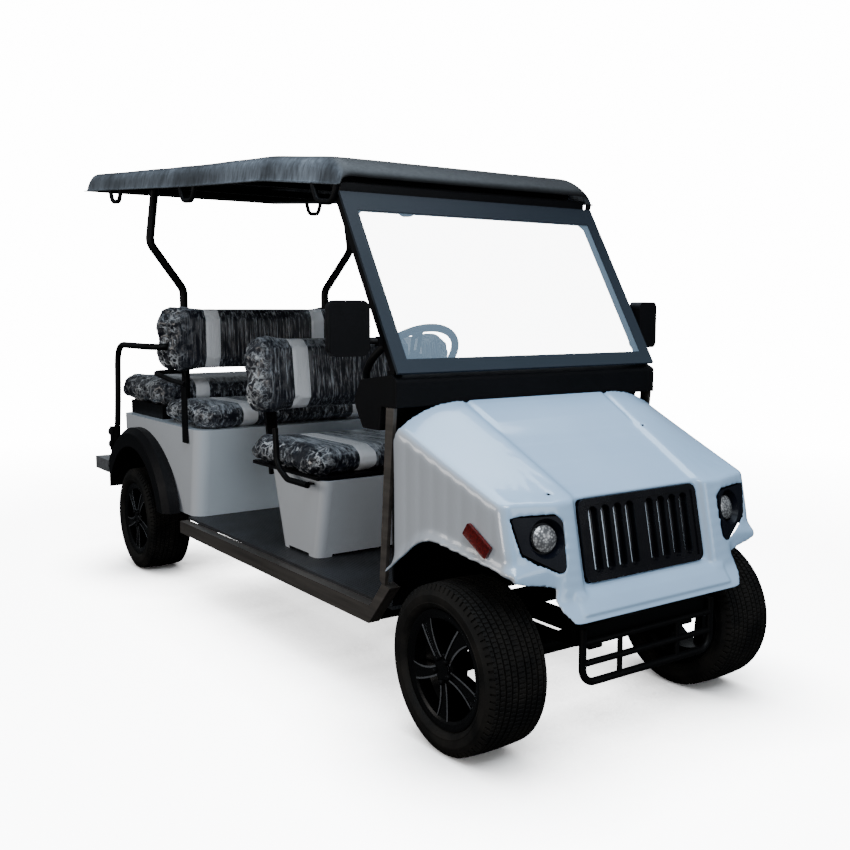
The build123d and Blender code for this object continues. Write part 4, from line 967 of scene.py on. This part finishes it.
def makeLiners():
    low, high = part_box("grille")
    wide = (liners["slot"] - liners["slit"]) / 2
    deep = liners["to"] - liners["from"]
    pieces = []
    for side in (-1, 1):
        for index in range(liners["slots"]):
            for edge in (-1, 1):
                across = side * (liners["first"] + index * liners["pitch"])
                across += edge * (liners["slit"] + wide) / 2
                clearSelection()
                bpy.ops.mesh.primitive_cube_add(
                    size=1, location=(across, liners["from"] + deep / 2, 0),
                    scale=(wide, deep, liners["tall"]))
                piece = bpy.context.object
                applyAll(piece)
                bevelEdges(piece, liners["corner"], 2, lambda a, b: max(a.y, b.y) < liners["from"] + 0.001)
                pieces.append(piece)
    piece = joinAll(pieces)
    piece.rotation_euler = (-math.radians(liners["lean"]), 0, 0)
    piece.location = [(a + b) / 2 for a, b in zip(low, high)]
    return settle(piece, "grilleLiners", glossBlack, "chassis")


slitStrips = {"wide": 0.006, "tall": 0.17, "from": 0.0066, "to": 0.0136, "shift": -0.001, "corner": 0.0015}


def makeSlitStrips():
    # the pale panel shows through as one narrow raised strip in each slot
    low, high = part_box("grille")
    deep = slitStrips["to"] - slitStrips["from"]
    pieces = []
    for side in (-1, 1):
        for index in range(liners["slots"]):
            across = side * (liners["first"] + index * liners["pitch"]) + slitStrips["shift"]
            clearSelection()
            bpy.ops.mesh.primitive_cube_add(
                size=1, scale=(slitStrips["wide"], deep, slitStrips["tall"]),
                location=(across, slitStrips["from"] + deep / 2, 0))
            piece = bpy.context.object
            applyAll(piece)
            face = slitStrips["from"] + 0.001
            bevelEdges(piece, slitStrips["corner"], 2, lambda a, b: max(a.y, b.y) < face)
            pieces.append(piece)
    piece = joinAll(pieces)
    piece.rotation_euler = (-math.radians(liners["lean"]), 0, 0)
    piece.location = [(a + b) / 2 for a, b in zip(low, high)]
    return settle(piece, "grilleStrips", stripWhite, "chassis")


makeLiners()
makeSlitStrips()
markerPair = joinAll([makeMarker(-1), makeMarker(1)])
markerPiece = settle(markerPair, "markerLenses", redReflector, "chassis")
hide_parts("side_markers")

# tubes bent along given paths: the rear hand rails and the grab handles under the roof
def roundedPath(points, bend):
    # the points joined by straight runs, with each corner eased over the bend's length
    spots = [Vector(point) for point in points]
    path = [spots[0]]
    for before, corner, after in zip(spots, spots[1:], spots[2:]):
        first = min(bend, (before - corner).length * 0.48)
        second = min(bend, (after - corner).length * 0.48)
        start = corner + (before - corner).normalized() * first
        end = corner + (after - corner).normalized() * second
        for step in range(9):
            share = step / 8
            path.append(start * (1 - share) ** 2 + corner * 2 * share * (1 - share) + end * share ** 2)
    path.append(spots[-1])
    return path


def bentTube(points, radius, bend):
    # round tube along the rounded path, with closed ends
    path = roundedPath(points, bend)
    curve = bpy.data.curves.new("tube", "CURVE")
    curve.dimensions = "3D"
    curve.bevel_depth = radius
    curve.bevel_resolution = 4
    curve.use_fill_caps = True
    spline = curve.splines.new("POLY")
    spline.points.add(len(path) - 1)
    for point, spot in zip(spline.points, path):
        point.co = (*spot, 1)
    tube = bpy.data.objects.new("tube", curve)
    bpy.context.collection.objects.link(tube)
    choose(tube)
    bpy.ops.object.convert(target="MESH")
    return bpy.context.object


handRail = {
    "radius": 0.0155, "bend": 0.1,
    "path": ((0.396, 0.749, 1.076), (0.53, 0.749, 1.076), (0.53, 1.252, 1.076), (0.53, 1.275, 0.79),
             (0.527, 1.335, 0.5), (0.43, 1.58, 0.41)),
    "plate": ((0.503, 1.352, 0.53), (0.553, 1.357, 0.655)),
    "bracket": ((0.52, 1.306, 0.625), (0.536, 1.352, 0.64))}


def makeBlock(low, high, edge):
    clearSelection()
    bpy.ops.mesh.primitive_cube_add(size=1, location=[(a + b) / 2 for a, b in zip(low, high)],
                                    scale=[abs(b - a) for a, b in zip(low, high)])
    piece = bpy.context.object
    applyAll(piece)
    bevelEdges(piece, edge, 2, lambda a, b: True)
    return piece


def makeHandRail(side, name, node):
    path = [(side * x, y, z) for x, y, z in handRail["path"]]
    pieces = [bentTube(path, handRail["radius"], handRail["bend"])]
    for key in ("plate", "bracket"):
        low, high = [(side * x, y, z) for x, y, z in handRail[key]]
        pieces.append(makeBlock(low, high, 0.0015))
    rail = settle(joinAll(pieces), name, satinBlack, "chassis", 50)
    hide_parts(node)


makeHandRail(-1, "handRailRight", "rear_rail_right")
makeHandRail(1, "handRailLeft", "rear_rail_left")

roofLine = ((-0.987, 1.629), (-0.446, 1.697), (0.273, 1.748), (1.646, 1.863))  # lower edge of the roof: Y, Z


def lipLevel(place):
    for (y0, z0), (y1, z1) in zip(roofLine, roofLine[1:]):
        if place <= y1:
            break
    return z0 + (z1 - z0) * (place - y0) / (y1 - y0)


grab = {"x": 0.543, "places": (-0.895, 0.25, 1.16), "half": 0.076, "grip": 0.046, "drop": 0.054,
        "radius": 0.0105, "bend": 0.025}


def makeGrabHandles():
    pieces = []
    for side in (-1, 1):
        for place in grab["places"]:
            outline = ((-grab["half"], 0.002), (-grab["half"] + 0.008, -0.02), (-grab["grip"], -grab["drop"]),
                       (grab["grip"], -grab["drop"]), (grab["half"] - 0.008, -0.02), (grab["half"], 0.002))
            path = [(side * grab["x"], place + along, lipLevel(place + along) + rise)
                    for along, rise in outline]
            pieces.append(bentTube(path, grab["radius"], grab["bend"]))
    handles = settle(joinAll(pieces), "grabHandles", plasticBlack, "chassis", 60)
    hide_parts("grab_handles")


makeGrabHandles()

# moulded roof skin: one sheet with rounded sides, a sloping front and slight waves
roofSkin = {
    "half": 0.552, "front": -0.987, "rear": 1.646, "crown": 0.088, "lip": 0.012, "sideRun": 0.055,
    "frontLow": 0.3, "frontRun": 0.12, "rearRun": 0.07, "round": 2.3, "wall": 0.005, "wave": 0.006,
    "waveScale": 5.5, "steps": 26}
edgeSteps = (0, 0.006, 0.012, 0.016, 0.021, 0.027, 0.034, 0.042, 0.052, 0.064, 0.08, 0.1, 0.13, 0.17, 0.22,
             0.28, 0.35, 0.43)


def easedRise(distance, run, power):
    share = min(max(distance / run, 0), 1)
    return (1 - (1 - share) ** power) ** (1 / power)


def roofSpot(x, y):
    # height of the outer surface above a place in plan
    fromSide = roofSkin["half"] - abs(x)
    side = easedRise(fromSide - roofSkin["lip"], roofSkin["sideRun"], roofSkin["round"])
    front = easedRise(y - roofSkin["front"], roofSkin["frontRun"], 1.6)
    rear = easedRise(roofSkin["rear"] - y - roofSkin["lip"], roofSkin["rearRun"], roofSkin["round"])
    rise = side * (roofSkin["frontLow"] + (1 - roofSkin["frontLow"]) * front) * rear
    wave = noiseField.fractal(Vector((x * 1.3, y * 0.8, 2.0)) * roofSkin["waveScale"], 0.7, 2.0, 2)
    swell = roofSkin["wave"] * wave * rise * (0.35 + 0.65 * (1 - front * rear))
    return Vector((x, y, lipLevel(y) + 0.005 + roofSkin["crown"] * rise + swell))


def makeRoofSkin():
    half = roofSkin["half"]
    across = sorted({-half + step for step in edgeSteps} | {half - step for step in edgeSteps} | {0.0})
    along = [roofSkin["front"] + step for step in edgeSteps]
    length = roofSkin["rear"] - roofSkin["front"]
    count = roofSkin["steps"]
    middle = length - 2 * edgeSteps[-1]
    along += [roofSkin["front"] + edgeSteps[-1] + middle * step / count for step in range(1, count)]
    along += [roofSkin["rear"] - step for step in reversed(edgeSteps)]
    clearSelection()
    bpy.ops.mesh.primitive_grid_add(x_subdivisions=len(across) - 1, y_subdivisions=len(along) - 1, size=1)
    piece = bpy.context.object
    for index, vertex in enumerate(piece.data.vertices):
        vertex.co = roofSpot(across[index % len(across)], along[index // len(across)])
    sheet = piece.modifiers.new("sheet", "SOLIDIFY")
    sheet.thickness = roofSkin["wall"]
    sheet.offset = -1
    subdivision = piece.modifiers.new("smooth", "SUBSURF")
    subdivision.levels = 1
    subdivision.render_levels = 1
    settle(piece, "roofSkin", roofBlack, "chassis", 50)
    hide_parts("roof_shell")


makeRoofSkin()

# seal between the roof's front and the windscreen
seal = {"half": 0.525, "front": -0.965, "rear": -0.93, "low": 1.598, "overlap": 0.012, "corner": 0.006}
sealBlock = makeBlock((-seal["half"], seal["front"], seal["low"]),
                      (seal["half"], seal["rear"], lipLevel(-0.95) + seal["overlap"]), seal["corner"])
settle(sealBlock, "headerSeal", plasticBlack, "chassis")
print("tubes and roof ready")

# floor, lights and surroundings
studio = {
    "floorSize": 60, "floorTone": (0.8, 0.8, 0.8, 1), "hiddenTone": (0.06, 0.06, 0.06, 1),
    "glow": 9.0, "farGlow": 15.0, "contact": 0.42, "fadeFrom": 2.6, "fadeTo": 6.0,
    "surround": 0.2, "backdrop": 15.0,
    "lights": (  # name, place, target, size, power, colour
        ("keyBox", (-1.6, -4.6, 4.6), (0, -0.8, 0.6), (2.4, 2.0), 228, (0.86, 0.935, 1.0)),
        ("topBox", (0.3, -0.6, 5.0), (0, -0.2, 0.5), (4.2, 4.2), 345, (0.74, 0.87, 1.0)),
        ("frontBox", (1.2, -5.5, 1.6), (0, -1.5, 0.5), (2.2, 1.6), 30, (0.9, 0.95, 1.0)),
        ("cabinBox", (-3.6, -3.2, 0.9), (-0.2, 0.3, 0.5), (1.4, 0.8), 45, (1.0, 0.95, 0.9)),
        ("sideBox", (-5.0, 0.6, 2.0), (0, 0.4, 0.6), (2.5, 1.6), 80, (1.0, 0.95, 0.9)))}


def addSoftbox(name, place, target, size, power, color):
    bpy.ops.object.light_add(type="AREA", location=place)
    light = bpy.context.object
    light.name = name
    light.data.shape = "RECTANGLE"
    light.data.size, light.data.size_y = size
    light.data.energy = power
    light.data.color = color
    light.rotation_euler = (Vector(target) - Vector(place)).to_track_quat("-Z", "Y").to_euler()


def floorMaterial():
    # pale floor that glows into the white surroundings with distance, with a painted contact shadow in its
    # glow near parts, and throws little light back up
    material, made, links, shader = newMaterial("floorPale", **{"Roughness": 0.9, "Specular IOR Level": 0.0})
    source = made.new("ShaderNodeTexCoord")
    distance = made.new("ShaderNodeVectorMath")
    distance.operation = "LENGTH"
    links.new(source.outputs["Object"], distance.inputs[0])
    rays = made.new("ShaderNodeLightPath")
    tone = mixColors(made, links, rays.outputs["Is Camera Ray"], studio["hiddenTone"], studio["floorTone"])
    links.new(tone, shader.inputs["Base Color"])
    share = made.new("ShaderNodeMapRange")
    setSockets(share, {"From Min": studio["fadeFrom"], "From Max": studio["fadeTo"],
                       "To Min": studio["glow"], "To Max": studio["farGlow"]})
    links.new(distance.outputs["Value"], share.inputs["Value"])
    shader.inputs["Emission Color"].default_value = (1, 1, 1, 1)
    # painted contact shadow: the glow the camera sees is darkened by ambient occlusion near the wheels and
    # other parts
    contact = made.new("ShaderNodeAmbientOcclusion")
    contact.samples = 8
    contact.inputs["Distance"].default_value = studio["contact"]
    contactShadow = mathNode(made, links, "POWER", contact.outputs["AO"], 3.0)
    seen = mathNode(made, links, "MULTIPLY", rays.outputs["Is Camera Ray"], contactShadow)
    glow = mathNode(made, links, "MULTIPLY", share.outputs["Result"], seen)
    links.new(glow, shader.inputs["Emission Strength"])
    return material


def makeWorld():
    # even, dim light all round, with a white backdrop that only the camera sees
    world = bpy.data.worlds.new("studio")
    world.use_nodes = True
    made, links = world.node_tree.nodes, world.node_tree.links
    setSockets(made["Background"], {"Color": (0.85, 0.93, 1.0, 1), "Strength": studio["surround"]})
    backdrop = made.new("ShaderNodeBackground")
    setSockets(backdrop, {"Color": (1, 1, 1, 1), "Strength": studio["backdrop"]})
    rays = made.new("ShaderNodeLightPath")
    mixed = made.new("ShaderNodeMixShader")
    links.new(rays.outputs["Is Camera Ray"], mixed.inputs[0])
    links.new(made["Background"].outputs[0], mixed.inputs[1])
    links.new(backdrop.outputs[0], mixed.inputs[2])
    links.new(mixed.outputs[0], made["World Output"].inputs["Surface"])
    bpy.context.scene.world = world


clearSelection()
bpy.ops.mesh.primitive_plane_add(size=studio["floorSize"])
floor = bpy.context.object
floor.name = "studioFloor"
floor.data.materials.append(floorMaterial())
for name, place, target, size, power, color in studio["lights"]:
    addSoftbox(name, place, target, size, power, color)
makeWorld()
print("studio ready")
